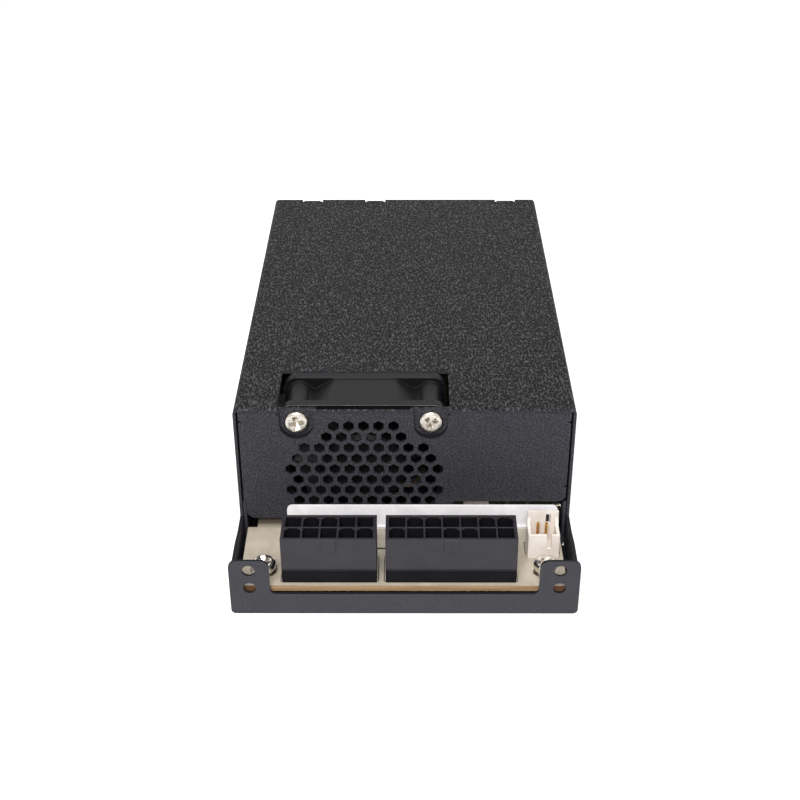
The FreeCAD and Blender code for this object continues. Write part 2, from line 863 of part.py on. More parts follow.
def flap_outline():
    """What is cut from the front wall of the cover to leave the flap."""
    flap_half = cover_inner - size.flap_edge_gap
    neck_half = flap_half - size.flap_neck_step
    step_x = fan_x + fan_size / 2 + size.flap_step_right
    cut_away = [
        (-cover_inner, under_top), (-flap_half, under_top), (-flap_half, size.flap_neck_height),
        (-neck_half, size.flap_neck_height), (-neck_half, size.flap_low_edge), (step_x, size.flap_low_edge),
        (step_x, size.flap_high_edge), (flap_half, size.flap_high_edge), (flap_half, under_top),
        (cover_inner, under_top), (cover_inner, 0), (-cover_inner, 0),
    ]
    round_corners = [(-neck_half, size.flap_low_edge), (flap_half, size.flap_high_edge)]
    nick = size.relief_size
    nicks = []
    for edge, inward, height in (
        (-flap_half, nick, case_top - size.relief_drop),
        (flap_half, -nick, case_top - size.relief_drop),
        (flap_half, -nick, size.flap_high_edge + size.relief_rise),
    ):
        outside = edge - inward / 4
        nicks.append([(outside, height + nick / 2), (edge + inward, height), (outside, height - nick / 2)])
    return cut_away, round_corners, nicks


def top_cover():
    """Top, two sides and front flap, folded from one sheet."""
    body = new_body()
    outside = rectangle((-half_width, half_width), (flap_front, rear))
    grow(body, "XY_Plane", (size.cover_lift, case_top), [outside])
    sides = [(-half_width, case_top), (half_width, case_top)]
    round_edges(body, size.bend_radius, y=sides, x=[(flap_front, case_top)])
    inside = rectangle((-cover_inner, cover_inner), (flap_rear, rear + size.sheet))
    carve(body, "XY_Plane", (0, under_top), [inside])
    flap_span = (flap_front - size.sheet, flap_rear)
    cut_away, round_corners, nicks = flap_outline()
    carve(body, "XZ_Plane", flap_span, [cut_away])
    round_edges(body, size.flap_radius, y=round_corners)
    carve(body, "XZ_Plane", flap_span, nicks)
    add_window(body)
    add_dimples(body)
    add_rear_tabs(body)
    screw_x, screw_z = fan_hole.value, (fan_z + fan_hole).value
    reach = (fan_size / 2 - size.grille_rim).value
    lowest = (size.flap_low_edge + size.hex_flats * 0.75).value

    def in_grille(x, z):
        from_centre = math.hypot(x - fan_x.value, z - fan_z.value)
        from_screw = math.hypot(abs(x - fan_x.value) - screw_x, z - screw_z)
        return from_centre < reach and from_screw > size.grille_screw_clearance.value and z > lowest

    grille = hexagons((fan_x.value, fan_z.value), flap_front.value, flap_rear.value, in_grille)
    return cut(body, grille, *sunk_screws(size.fit_gap / 2))


def add_window(body):
    """Opening in the top for the fan, with a relief at each front corner."""
    window_half = fan_size / 2 + size.window_gap
    left, right = fan_x - window_half, fan_x + window_half
    top_span = (under_top - size.sheet, case_top)
    window = rectangle((left, right), (flap_rear, fan_rear + size.window_rear_gap))
    carve(body, "XY_Plane", top_span, [window])
    reliefs = []
    for corner, outward in ((left, -size.relief_size), (right, size.relief_size)):
        reliefs.append([
            (corner - outward, flap_rear + size.relief_size), (corner + outward, flap_front - size.sheet),
            (corner - outward, flap_front - size.sheet),
        ])
    carve(body, "XY_Plane", top_span, reliefs)


def add_dimples(body):
    """Pressed seats for the two upper fan screws, open at the top edge of the flap."""
    centres = [fan_x - fan_hole, fan_x + fan_hole]
    height = fan_z + fan_hole
    outer = size.dimple_radius + size.sheet
    inner = size.dimple_radius
    back_span = (flap_rear, fan_front)
    front_span = (flap_front - size.sheet, fan_front - size.sheet)
    boss_top = case_top - size.sheet / 2
    grow(body, "XZ_Plane", back_span, [(x, height, outer) for x in centres])
    grow(body, "XZ_Plane", back_span, [rectangle(around(x, outer), (height, boss_top)) for x in centres])
    over_top = (boss_top, case_top + outer)
    carve(body, "XZ_Plane", back_span, [rectangle(around(x, inner), over_top) for x in centres])
    carve(body, "XZ_Plane", front_span, [(x, height, inner) for x in centres])
    recess_top = case_top + size.sheet
    carve(body, "XZ_Plane", front_span, [rectangle(around(x, inner), (height, recess_top)) for x in centres])
    hole = size.fan_shank_radius + size.fit_gap
    carve(body, "XZ_Plane", (flap_front, fan_front), [(x, height, hole) for x in centres])


def add_rear_tabs(body):
    """Tabs at the rear edge of the top that hook behind the rear panel."""
    left_side, right_side = -half_width, half_width
    centres = [
        left_side + size.tab_left_inset, left_side + size.tab_middle_inset, right_side - size.tab_right_inset,
    ]
    fold = panel_inner - size.fit_gap / 2
    half = size.tab_width / 2
    nick = size.tab_nick_radius
    top_span = (under_top - size.sheet, case_top)
    reach = half + nick
    carve(body, "XY_Plane", top_span, [rectangle(around(x, reach), (fold, rear + nick)) for x in centres])
    spots = [x + side for x in centres for side in (-reach, reach)]
    carve(body, "XY_Plane", top_span, [(x, fold, nick) for x in spots])
    drop_span = (under_top - size.tab_drop, under_top)
    tab = (fold - size.sheet, fold)
    grow(body, "XY_Plane", drop_span, [rectangle(around(x, half), tab) for x in centres])


def cover_screws():
    right, left = sunk_screws(0)
    return group([right, left])


def fan_body():
    """A body whose Z axis is the fan's axis, from the rear face to the front."""
    return new_body((fan_x, fan_rear, fan_z), FACING_FRONT)


def fan_rod(start, radius, length):
    return rod((fan_x, fan_rear - start, fan_z), radius, length, FACING_FRONT)


def fan_ring(start, outer, inner, length):
    return cut(fan_rod(start, outer, length), fan_rod(start, inner, length))


def fan_frame():
    """Square frame with two flanges, a faceted duct, corner pillars with ribs, struts and the motor seat."""
    body = fan_body()
    half = fan_size / 2
    depth = size.fan_depth
    square = rectangle((-half, half), (-half, half))
    grow(body, "XY_Plane", (0, size.fan_flange), [square])
    grow(body, "XY_Plane", (depth - size.fan_flange, depth), [square])
    corners = [(x, y) for x in (-half, half) for y in (-half, half)]
    round_edges(body, size.fan_corner_radius, z=corners)
    side = half - size.fan_side_step
    panel = size.fan_panel_width / 2
    valley_along, valley_out = size.fan_valley_along, size.fan_valley_out
    rib_along, rib_out = size.fan_rib_along, size.fan_rib_out
    quarter = [
        (panel, side), (valley_along, valley_out), (rib_along, rib_out),
        (rib_out, rib_along), (valley_out, valley_along), (side, panel),
    ]
    duct = quarter + [(x, -y) for x, y in reversed(quarter)]
    duct = duct + [(-x, y) for x, y in reversed(duct)]
    grow(body, "XY_Plane", (0, depth), [duct])
    holes = [(x, y) for x in (-fan_hole, fan_hole) for y in (-fan_hole, fan_hole)]
    grow(body, "XY_Plane", (0, depth), [(x, y, size.fan_pillar_radius) for x, y in holes])
    carve(body, "XY_Plane", (0, depth), [(0, 0, fan_bore)])
    reach = fan_bore + size.fan_bore_wall / 2
    strut = size.fan_strut_width / 2
    seat = size.fan_base_thickness
    grow(body, "XY_Plane", (0, seat), [rectangle((-reach, reach), (-strut, strut))])
    grow(body, "XY_Plane", (0, seat), [rectangle((-strut, strut), (-reach, reach))])
    grow(body, "XY_Plane", (0, seat), [(0, 0, size.hub_radius)])
    tube_top = bearing_start + size.bearing_length
    grow(body, "XY_Plane", (0, tube_top), [(0, 0, bearing_tube)])
    carve(body, "XY_Plane", (bearing_start, tube_top), [(0, 0, bearing_bore)])
    carve(body, "XY_Plane", (0, depth), [(x, y, size.fan_hole_radius) for x, y in holes])
    return body


def blade_section(half, low, high):
    thick = size.blade_thickness / 2
    return [(-half - thick, low), (-half + thick, low), (half + thick, high), (half - thick, high)]


def fan_rotor():
    """Hub cup with a ring of twisted blades."""
    body = fan_body()
    outer = size.hub_radius
    inner = outer - size.hub_wall
    roof = hub_front - size.hub_face
    boss = size.hub_boss_radius
    bore = size.shaft_radius + size.running_gap / 2
    boss_end = roof - size.hub_boss_length
    turn(body, [[
        (0, hub_front), (inner, hub_front), (outer, hub_front - size.hub_wall), (outer, size.hub_rear),
        (inner, size.hub_rear), (inner, roof), (boss, roof), (boss, boss_end), (bore, boss_end), (bore, roof),
        (0, roof),
    ]])
    low = size.hub_rear + size.blade_margin
    high = hub_front - size.blade_margin
    root_level = outer - size.hub_wall * 0.9
    tip_level = fan_bore - size.blade_tip_gap
    root = outline(body, "YZ_Plane", root_level, [blade_section(size.blade_root_half, low, high)])
    tip = outline(body, "YZ_Plane", tip_level, [blade_section(size.blade_tip_half, low, high)])
    blade = body.newObject("PartDesign::AdditiveLoft", "blade")
    blade.Profile = root
    blade.Sections = [tip]
    blade.Ruled = True
    doc.recompute()
    repeat_round(body, blade, size.blade_count)
    return body


def fan_shaft():
    return fan_rod(size.shaft_start, size.shaft_radius, hub_front - size.hub_face - size.shaft_start)


def fan_magnet():
    return fan_ring(size.hub_rear + size.air_gap, magnet_outer, magnet_inner, size.magnet_length)


def fan_bearing():
    bore = size.shaft_radius + size.running_gap
    return fan_ring(bearing_start, size.bearing_radius, bore, size.bearing_length)


def fan_circuit_board():
    hole = bearing_tube + size.running_gap
    return fan_ring(size.fan_base_thickness, magnet_inner, hole, size.fan_board_thickness)


def fan_stator():
    """Four-pole core: a ring, a cross of teeth and shoes split by four slots."""
    body = fan_body()
    span = (stator_low, stator_low + size.stator_length)
    collar = bearing_tube + size.running_gap
    shoe_inner = stator_outer - size.stator_shoe
    tooth = size.stator_tooth_width / 2
    grow(body, "XY_Plane", span, [(0, 0, collar + size.stator_shoe), (0, 0, collar)])
    grow(body, "XY_Plane", span, [rectangle((-shoe_inner, shoe_inner), (-tooth, tooth))])
    grow(body, "XY_Plane", span, [rectangle((-tooth, tooth), (-shoe_inner, shoe_inner))])
    grow(body, "XY_Plane", span, [(0, 0, stator_outer), (0, 0, shoe_inner - size.running_gap)])
    carve(body, "XY_Plane", span, [(0, 0, collar)])
    half_slot = size.stator_shoe / 2
    slots = []
    for turn_x, turn_y in ((1, 1), (-1, 1), (-1, -1), (1, -1)):
        near, far = shoe_inner / 2, stator_outer
        slots.append([
            ((near - half_slot) * turn_x, (near + half_slot) * turn_y),
            ((far - half_slot) * turn_x, (far + half_slot) * turn_y),
            ((far + half_slot) * turn_x, (far - half_slot) * turn_y),
            ((near + half_slot) * turn_x, (near - half_slot) * turn_y),
        ])
    carve(body, "XY_Plane", span, slots)
    return body


def fan_coils():
    """One coil round each tooth of the stator."""
    body = fan_body()
    start = bearing_tube + size.stator_shoe + size.air_gap
    end = stator_outer - size.stator_shoe - size.air_gap * 2
    half = size.stator_tooth_width / 2 + size.running_gap
    low = stator_low - size.running_gap
    high = stator_low + size.stator_length + size.running_gap
    build = size.coil_thickness
    outside = rectangle((-half - build, half + build), (low - build, high + build))
    inside = rectangle((-half, half), (low, high))
    coil = grow(body, "YZ_Plane", (start, end), [outside, inside])
    repeat_round(body, coil, 4)
    return body


def pan_screw(tall, shank, length):
    """Round-head screw, head underside at the origin and shank down its Z axis."""
    body = new_body()
    head = size.pan_head_radius
    turn(body, [[
        (0, tall), (head * 0.6, tall * 0.94), (head * 0.9, tall * 0.66), (head, tall * 0.3), (head, 0),
        (shank, 0), (shank, -length), (0, -length),
    ]])
    return body


def fan_screws():
    spots = [(x, fan_front - size.sheet, fan_z + fan_hole) for x in around(fan_x, fan_hole)]
    screw = pan_screw(size.fan_head_height, size.fan_shank_radius, size.fan_screw_length)
    return copies(screw, spots, FACING_FRONT)


def main_board():
    """Circuit board with a window for the fan and holes for screws and terminals."""
    body = new_body()
    edge = [
        (-board_half, board_front), (board_right, board_front), (board_right, board_rear),
        (board_left, board_rear), (board_left, board_step), (-board_half, board_step),
    ]
    holes = [(x, y, size.pan_shank_radius + size.fit_gap) for x, y in board_screw_spots]
    terminal_hole = size.terminal_width * 0.75 + size.terminal_gap
    for right, columns in headers:
        holes += [(x, y, terminal_hole) for x, y in terminal_spots(right, columns)]
    holes += [(x, y, size.sense_pin * 0.75 + size.terminal_gap) for x, y in sense_pin_spots()]
    grow(body, "XY_Plane", (board_bottom, board_top), [edge, fan_clearance(), *holes])
    return body


def fan_clearance():
    half = fan_size / 2 + size.board_window_gap
    gap = size.board_window_gap
    return rectangle(around(fan_x, half), (fan_front - gap, fan_rear + gap))


def insulation_sheet():
    """Film on the tray floor, open round the standoffs and the fan."""
    body = new_body()
    sheet = rectangle((board_left, board_right), (board_front + size.sheet, board_rear))
    holes = [(x, y, size.standoff_radius + size.fit_gap) for x, y in board_screw_spots]
    span = (size.sheet, size.sheet + size.insulation_thickness)
    grow(body, "XY_Plane", span, [sheet, fan_clearance(), *holes])
    return body


def on_board_screws(height):
    return [(x, y, height) for x, y in board_screw_spots]


def ring(outer, inner, thickness):
    body = new_body()
    turn(body, [rectangle((inner, outer), (0, thickness))])
    return body


def board_standoffs():
    bore = size.pan_shank_radius + size.running_gap
    return copies(ring(size.standoff_radius, bore, size.standoff_height), on_board_screws(size.sheet))


def flat_washers():
    bore = size.pan_shank_radius + size.fit_gap
    washer = ring(size.flat_washer_radius, bore, size.flat_washer_thickness)
    return copies(washer, on_board_screws(board_top))


def spring_washers():
    """Split rings between the screw heads and the flat washers."""
    bore = size.pan_shank_radius + size.running_gap
    body = ring(size.spring_washer_radius, bore, size.spring_washer_thickness)
    slit = size.running_gap * 4
    opening = rectangle((0, size.spring_washer_radius), (-slit, slit))
    carve(body, "XY_Plane", (0, size.spring_washer_thickness), [opening])
    return copies(body, on_board_screws(board_top + size.flat_washer_thickness))


def board_screws():
    seat = board_top + size.flat_washer_thickness + size.spring_washer_thickness
    screw = pan_screw(size.pan_head_height, size.pan_shank_radius, size.board_screw_length)
    return copies(screw, on_board_screws(seat))


def squares(spots, half):
    return [rectangle(around(x, half), around(y, half)) for x, y in spots]


def terminal_spots(right, columns):
    """Places of the terminals, front row first, from left to right."""
    left = right - header_width(columns)
    middle = (header_front + header_rear) / 2
    spots = []
    for y in around(middle, size.header_pitch / 2):
        spots += [(left + size.header_margin + size.header_pitch * i, y) for i in range(columns)]
    return spots


def cavity(x, y, keyed):
    """Outline of one terminal cavity, with its rear corners cut where it is keyed."""
    half = size.cavity_width / 2
    corner = size.cavity_chamfer
    if not keyed:
        return rectangle(around(x, half), around(y, half))
    return [
        (x - half, y - half), (x + half, y - half), (x + half, y + half - corner),
        (x + half - corner, y + half), (x - half + corner, y + half), (x - half, y + half - corner),
    ]


def output_header(right, columns, keys):
    """Upright housing with two rows of cavities; keys holds K for a keyed cavity and S for a square one."""
    body = new_body()
    left = right - header_width(columns)
    top = board_top + size.header_height
    floor = top - size.cavity_depth
    foot_top = board_top + size.header_foot
    step = size.header_foot_step
    foot = rectangle((left, right), (header_front + step, header_rear - step))
    grow(body, "XY_Plane", (board_top, foot_top), [foot])
    grow(body, "XY_Plane", (foot_top, top), [rectangle((left, right), (header_front, header_rear))])
    spots = terminal_spots(right, columns)
    cavities = [cavity(x, y, key == "K") for (x, y), key in zip(spots, keys)]
    carve(body, "XY_Plane", (floor, top), cavities)
    passages = squares(spots, size.terminal_width / 2 + size.terminal_gap)
    carve(body, "XY_Plane", (board_top, floor), passages)
    middle = (left + right) / 2
    ramp_low = top - size.latch_height
    ramp = [(header_front, top), (header_front - size.latch_depth, ramp_low), (header_front, ramp_low)]
    grow(body, "YZ_Plane", around(middle, size.latch_width / 2), [ramp])
    return body


def output_terminals(right, columns):
    body = new_body()
    posts = squares(terminal_spots(right, columns), size.terminal_width / 2)
    grow(body, "XY_Plane", (board_bottom - size.terminal_tail, board_top + size.terminal_rise), posts)
    return body


def sense_pin_spots():
    middle = sense_right - size.sense_width / 2 - size.sense_pin_shift
    y = sense_front + size.sense_depth / 2
    return [(x, y) for x in around(middle, size.sense_pitch / 2)]


def sense_header():
    """Small open-topped housing: low slotted front wall, high rear wall with a window."""
    body = new_body()
    left = sense_right - size.sense_width
    middle = sense_right - size.sense_width / 2
    back = sense_front + size.sense_depth
    wall = size.sense_wall
    low = board_top + size.sense_low_height
    high = board_top + size.sense_high_height
    floor = board_top + wall * 2
    holes = squares(sense_pin_spots(), size.sense_pin / 2 + size.terminal_gap)
    grow(body, "XY_Plane", (board_top, floor), [rectangle((left, sense_right), (sense_front, back)), *holes])
    slot_left = middle + wall * 0.85
    slot_right = slot_left + size.sense_slot
    slot_low = low - size.sense_slot_height
    front_wall = [
        (left, board_top), (sense_right, board_top), (sense_right, low), (slot_right, low),
        (slot_right, slot_low), (slot_left, slot_low), (slot_left, low), (left, low),
    ]
    grow(body, "XZ_Plane", (sense_front, sense_front + wall), [front_wall])
    peep = rectangle((slot_left, slot_right), (low, high - wall))
    grow(body, "XZ_Plane", (back - wall, back), [rectangle((left, sense_right), (board_top, high)), peep])
    side = [
        (sense_front, board_top), (back, board_top), (back, high), (back - wall * 2, low), (sense_front, low),
    ]
    grow(body, "YZ_Plane", (left, left + wall), [side])
    grow(body, "YZ_Plane", (sense_right - wall, sense_right), [side])
    return body


def sense_pins():
    body = new_body()
    posts = squares(sense_pin_spots(), size.sense_pin / 2)
    grow(body, "XY_Plane", (board_bottom - size.terminal_tail, board_top + size.sense_pin_height), posts)
    return body


def air_baffle():
    """White strip on edge under the flap, with a narrow foot and a slot behind the small header."""
    body = new_body()
    left = size.baffle_left_inset - half_width
    right = half_width - size.baffle_right_inset
    back = flap_front - size.baffle_gap
    face = back - size.baffle_thickness
    top = board_top + size.baffle_height
    slot_x = sense_right - size.sense_width / 2 + size.sense_slot
    slot_low = board_top + size.baffle_slot_low
    slot_span = (slot_low, slot_low + size.baffle_slot_height)
    slot = rectangle(around(slot_x, size.baffle_slot_width / 2), slot_span)
    grow(body, "XZ_Plane", (face, back), [rectangle((left, right), (board_top, top)), slot])
    grow(body, "XZ_Plane", (face - size.baffle_foot, face),
         [rectangle((left, right), (board_top, board_top + size.baffle_thickness))])
    round_edges(body, size.baffle_radius, y=[(left, top), (right, top)])
    return body


def blade_places():
    """Centres of the three inlet blades: two live ones and the earth one between and below them."""
    pitch = size.blade_pin_pitch / 2
    offset = size.blade_pin_offset
    return {
        "live": (inlet_x - pitch, inlet_z + offset),
        "neutral": (inlet_x + pitch, inlet_z + offset),
        "earth": (inlet_x, inlet_z - offset),
    }


def blade_outline(gap, spot):
    wide = size.blade_pin_width / 2 + gap
    tall = size.blade_pin_height / 2 + gap
    return rectangle(around(spot[0], wide), around(spot[1], tall))


def ac_inlet():
    """Mains inlet with a fixing flange behind the rear panel and a deep socket."""
    body = new_body()
    socket_floor = rear - size.inlet_cavity_depth
    flange_half = size.inlet_flange_width / 2
    flange_tall = size.inlet_flange_height / 2
    flange = rectangle(around(inlet_x, flange_half), around(inlet_z, flange_tall))
    grow(body, "XZ_Plane", (panel_inner - size.inlet_flange_thickness, panel_inner), [flange])
    grow(body, "XZ_Plane", (inlet_rear, rear), [inlet_outline(0)])
    carve(body, "XZ_Plane", (socket_floor, rear), [inlet_outline(-size.inlet_wall)])
    slots = [blade_outline(size.running_gap, spot) for spot in blade_places().values()]
    carve(body, "XZ_Plane", (inlet_rear, socket_floor), slots)
    return cut(body, copies(flat_screw(size.fit_gap / 2), inlet_screw_spots, FACING_REAR))


def ac_inlet_blades():
    body = new_body()
    blades = [blade_outline(0, spot) for spot in blade_places().values()]
    grow(body, "XZ_Plane", (blade_end, rear - size.blade_pin_recess), blades)
    return body


def ac_inlet_screws():
    return copies(flat_screw(0), inlet_screw_spots, FACING_REAR)


def inlet_lead(name):
    """Short insulated wire from a blade down to the board."""
    x, z = blade_places()[name]
    return lead([(x, blade_end, z), (x, lead_y, z), (x, lead_y, board_top)], size.lead_radius, size.lead_bend)


def disc(at, radius):
    """Ceramic disc standing on two wire legs, its flat faces to left and right."""
    x, y = at
    height = board_top + radius + size.disc_leg
    plate = rod((x - size.disc_thickness / 2, y, height), radius, size.disc_thickness, FACING_RIGHT)
    legs = []
    for leg_y in around(y, radius / 2):
        legs.append(rod((x, leg_y, board_top), size.disc_leg_radius, radius))
    return fuse(plate, *legs)


def y_capacitors():
    spots = [(y_cap_x, y_cap_y), (y_cap_x, y_cap_y - size.disc_spacing)]
    return group([disc(spot, size.y_cap_radius) for spot in spots])


def x_capacitor():
    left = size.x_cap_inset - tray_inner
    back = board_rear - size.rear_margin
    return block((left, left + size.x_cap_width), (back - size.x_cap_depth, back),
                 (board_top, board_top + size.x_cap_height))


def choke_core(at, rotation, radius, hole, width):
    body = new_body(at, rotation)
    turn(body, [rectangle((hole, radius), (-width / 2, width / 2))])
    return body


def choke_winding(at, rotation, radius, hole, width, angle):
    """Wire layer round part of a ring core."""
    body = new_body(at, rotation)
    gap = size.winding_gap
    half = width / 2
    outer = rectangle((hole - wound, radius + wound), (-half - wound, half + wound))
    inner = rectangle((hole - gap, radius + gap), (-half - gap, half + gap))
    turn(body, [outer, inner], angle)
    return body


def line_choke_windings():
    """Two windings on the front and rear halves of the core, each with its legs to the board."""
    at, rotation, radius, hole, width = line_choke
    body = choke_winding(*line_choke, 140)
    layer = body.Tip
    layer.Midplane = True
    doc.recompute()
    mirror(body, [layer], "YZ_Plane")
    leg_top = at[2] - radius - size.winding_gap * 2
    legs = []
    for y in (at[1] - hole * 0.75, at[1] + hole * 0.75):
        for x in around(at[0], width / 3):
            legs.append(rod((x, y, board_top), size.choke_leg, leg_top - board_top))
    return fuse(body, *legs)


def lying_height(width):
    return board_top + width / 2 + wound


line_choke = (
    (size.line_choke_inset - tray_inner, board_rear - size.line_choke_rear,
     board_top + size.line_choke_radius + wound + size.choke_leg),
    ON_EDGE, size.line_choke_radius, size.line_choke_hole, size.line_choke_width,
)
pfc_choke = (
    (pfc_x, pfc_y, lying_height(size.pfc_choke_width)),
    UPRIGHT, size.pfc_choke_radius, size.pfc_choke_hole, size.pfc_choke_width,
)
output_choke = (
    (output_choke_x, output_choke_y, lying_height(size.output_choke_width)),
    UPRIGHT, size.output_choke_radius, size.output_choke_hole, size.output_choke_width,
)
main_transformer = (
    (transformer_x, transformer_y, board_top),
    size.core_width, size.core_depth, size.core_height, size.core_leg, size.core_back,
)
standby_transformer = (
    (standby_x, standby_y, board_top),
    size.standby_core_width, size.standby_core_depth, size.standby_core_height,
    size.standby_core_leg, size.standby_core_back,
)


def transformer_core(at, width, depth, height, leg, back):
    """Closed core with two windows, seen from the front."""
    body = new_body(at)
    gap = (width - leg) / 2 - back
    windows = [rectangle((leg / 2, leg / 2 + gap), (back, height - back)),
               rectangle((-leg / 2 - gap, -leg / 2), (back, height - back))]
    outside = rectangle((-width / 2, width / 2), (0, height))
    grow(body, "XZ_Plane", (-depth / 2, depth / 2), [outside, *windows])
    return body


def transformer_winding(at, width, depth, height, leg, back, overhang):
    """Wound bobbin round the middle leg of a transformer core."""
    body = new_body(at)
    fit = size.winding_gap
    reach = width / 2 - back - fit
    deep = depth / 2 + overhang
    outside = rectangle((-reach, reach), (-deep, deep))
    around_leg = rectangle((-leg / 2 - fit, leg / 2 + fit), (-depth / 2 - fit, depth / 2 + fit))
    grow(body, "XY_Plane", (back + fit, height - back - fit), [outside, around_leg])
    return body


def heatsink(x, y, flange_side):
    """Upright plate with a folded top edge."""
    body = new_body()
    thick = size.heatsink_thickness
    top = board_top + size.heatsink_height
    inner, outer = (x[0], x[1]) if flange_side > 0 else (x[1], x[0])
    fold = outer + size.heatsink_fold * flange_side
    section = [
        (inner, board_top), (outer, board_top), (outer, top - thick),
        (fold, top - thick), (fold, top), (inner, top),
    ]
    grow(body, "XZ_Plane", y, [section])
    return body


def flat_leg(x, y, top):
    """Flat metal leg from the board up to a package."""
    half = size.terminal_width / 2
    return block(around(x, half / 2), around(y, half), (board_top, top))


def transistor(face, y, side):
    """Flat power package against a heatsink face, with three leads to the board."""
    body_face = face + size.transistor_thickness * side
    tab_face = face + size.transistor_tab * side
    low = board_top + size.transistor_lead
    top = low + size.transistor_body
    half = size.transistor_width / 2
    moulded = block(tuple(sorted((face, body_face), key=value_of)), around(y, half), (low, top))
    tab_x = tuple(sorted((face, tab_face), key=value_of))
    tab = block(tab_x, around(y, half), (top, top + size.transistor_tab_height))
    middle = (face + body_face) / 2
    leads = []
    for i in (-1, 0, 1):
        leads.append(flat_leg(middle, y + half / 2 * i, low))
    return fuse(moulded, tab, *leads)


def transistor_pair(face, start, pitch, side):
    first = start + size.transistor_inset
    return group([transistor(face, first, side), transistor(face, first + pitch, side)])


def bridge_rectifier():
    """Flat rectifier package against the primary heatsink, on four leads."""
    low = board_top + size.transistor_lead
    face = primary_x[0]
    y_low = bridge_y - size.bridge_width / 2
    back = face - size.bridge_thickness
    moulded = block((back, face), (y_low, y_low + size.bridge_width), (low, low + size.bridge_height))
    middle = face - size.bridge_thickness / 2
    legs = []
    for i in range(4):
        legs.append(flat_leg(middle, y_low + size.bridge_width * (i + 0.5) / 4, low))
    return fuse(moulded, *legs)


def can(radius, height):
    """Capacitor can with its crimped groove near the foot and a rounded top."""
    body = new_body()
    groove = radius * 0.08
    turn(body, [[
        (0, 0), (radius, 0), (radius, radius * 0.25), (radius - groove, radius * 0.35),
        (radius, radius * 0.45), (radius, height - groove * 2), (radius - groove * 2, height), (0, height),
    ]])
    return body


def line_fuse():
    """Glass fuse with a metal cap at each end."""
    tube = rod((fuse_x, fuse_start, fuse_z), size.fuse_radius * 0.9, size.fuse_length, FACING_REAR)
    caps = []
    for y in (fuse_start, fuse_start + size.fuse_length - size.fuse_cap_length):
        caps.append(rod((fuse_x, y, fuse_z), size.fuse_radius, size.fuse_cap_length, FACING_REAR))
    return fuse(tube, *caps)


def fuse_clips():
    """Spring clips under the caps of the fuse."""
    half = size.fuse_radius + size.sheet
    seat = size.fuse_radius + size.winding_gap
    clips = []
    for y in (fuse_start, fuse_start + size.fuse_length - size.fuse_cap_length):
        span = (y + size.sheet, y + size.fuse_cap_length - size.sheet)
        jaws = block(around(fuse_x, half), span, (board_top, fuse_z + size.fuse_radius / 2))
        clips.append(cut(jaws, rod((fuse_x, y, fuse_z), seat, size.fuse_cap_length, FACING_REAR)))
    return group(clips)


def bulk_capacitor():
    height = under_top - size.bulk_cap_headroom - board_top
    return copies(can(size.bulk_cap_radius, height), [(bulk_x, bulk_y, board_top)])


def output_capacitors():
    """Five cans in two staggered rows."""
    spots = []
    for row, count in ((0, 3), (1, 2)):
        for i in range(count):
            x = output_cap_x + size.output_cap_pitch * (i + row / 2)
            spots.append((x, output_cap_y + size.output_cap_row * row, board_top))
    return copies(can(size.output_cap_radius, size.output_cap_height), spots)


def optocouplers():
    chips = []
    for i in range(3):
        y = opto_y + size.opto_pitch * i
        chips.append(block((opto_x, opto_x + size.opto_width), (y, y + size.opto_depth),
                           (board_top, board_top + size.opto_height)))
    return group(chips)


def control_board():
    """Upright card with its controller chip."""
    x = (control_x, control_x + size.control_board_thickness)
    y = around(transformer_y, size.control_board_length / 2)
    card = block(x, y, (board_top, board_top + size.control_board_height))
    chip_low = board_top + size.control_board_height / 2
    chip_half = size.opto_width / 2
    chip = block((x[1], x[1] + size.control_board_thickness), around(transformer_y, chip_half),
                 (chip_low, chip_low + size.opto_depth))
    return fuse(card, chip)


def current_shunt():
    """Bridge of thick bare wire over the board."""
    left, right = shunt_x - size.shunt_span / 2, shunt_x + size.shunt_span / 2
    top = board_top + size.shunt_rise
    corners = [(left, board_top), (left, top), (right, top), (right, board_top)]
    points = [(x, fan_plug_y, z) for x, z in corners]
    return lead(points, size.shunt_radius, size.shunt_span * 0.3)


def fan_header():
    x = around(fan_plug_x, size.plug_width / 2)
    y = around(fan_plug_y, size.plug_depth / 2)
    return block(x, y, (board_top, board_top + size.fan_header_height))


def fan_plug():
    inset = size.sheet / 2
    x = (fan_plug_x - size.plug_width / 2 + inset, fan_plug_x + size.plug_width / 2 - inset)
    y = (fan_plug_y - size.plug_depth / 2 + inset, fan_plug_y + size.plug_depth / 2 - inset)
    return block(x, y, (board_top + size.fan_header_height, fan_plug_top))


def fan_leads():
    """Wires from the side of the fan frame down into the plug."""
    wires = []
    side = fan_x + fan_size / 2 - size.fan_side_step
    rise = fan_plug_top + size.fan_wire_bend * 2
    for i in (-1, 0, 1):
        x = fan_plug_x + size.fan_wire_pitch * i
        z = rise + size.fan_wire_pitch * i
        wires.append(lead([(side, fan_plug_y, z), (x, fan_plug_y, z), (x, fan_plug_y, fan_plug_top)],
                          size.fan_wire_radius, size.fan_wire_bend))
    return group(wires)


# Columns of each output header, and its cavities from left to right, front row first.
TEN_WAY = (5, "KSSKK" "SKKSS")
FOURTEEN_WAY = (7, "KSSKKSS" "SKKSSKK")
header_left = header_right - header_width(FOURTEEN_WAY[0]) - size.header_space
headers = [(header_left, TEN_WAY[0]), (header_right, FOURTEEN_WAY[0])]


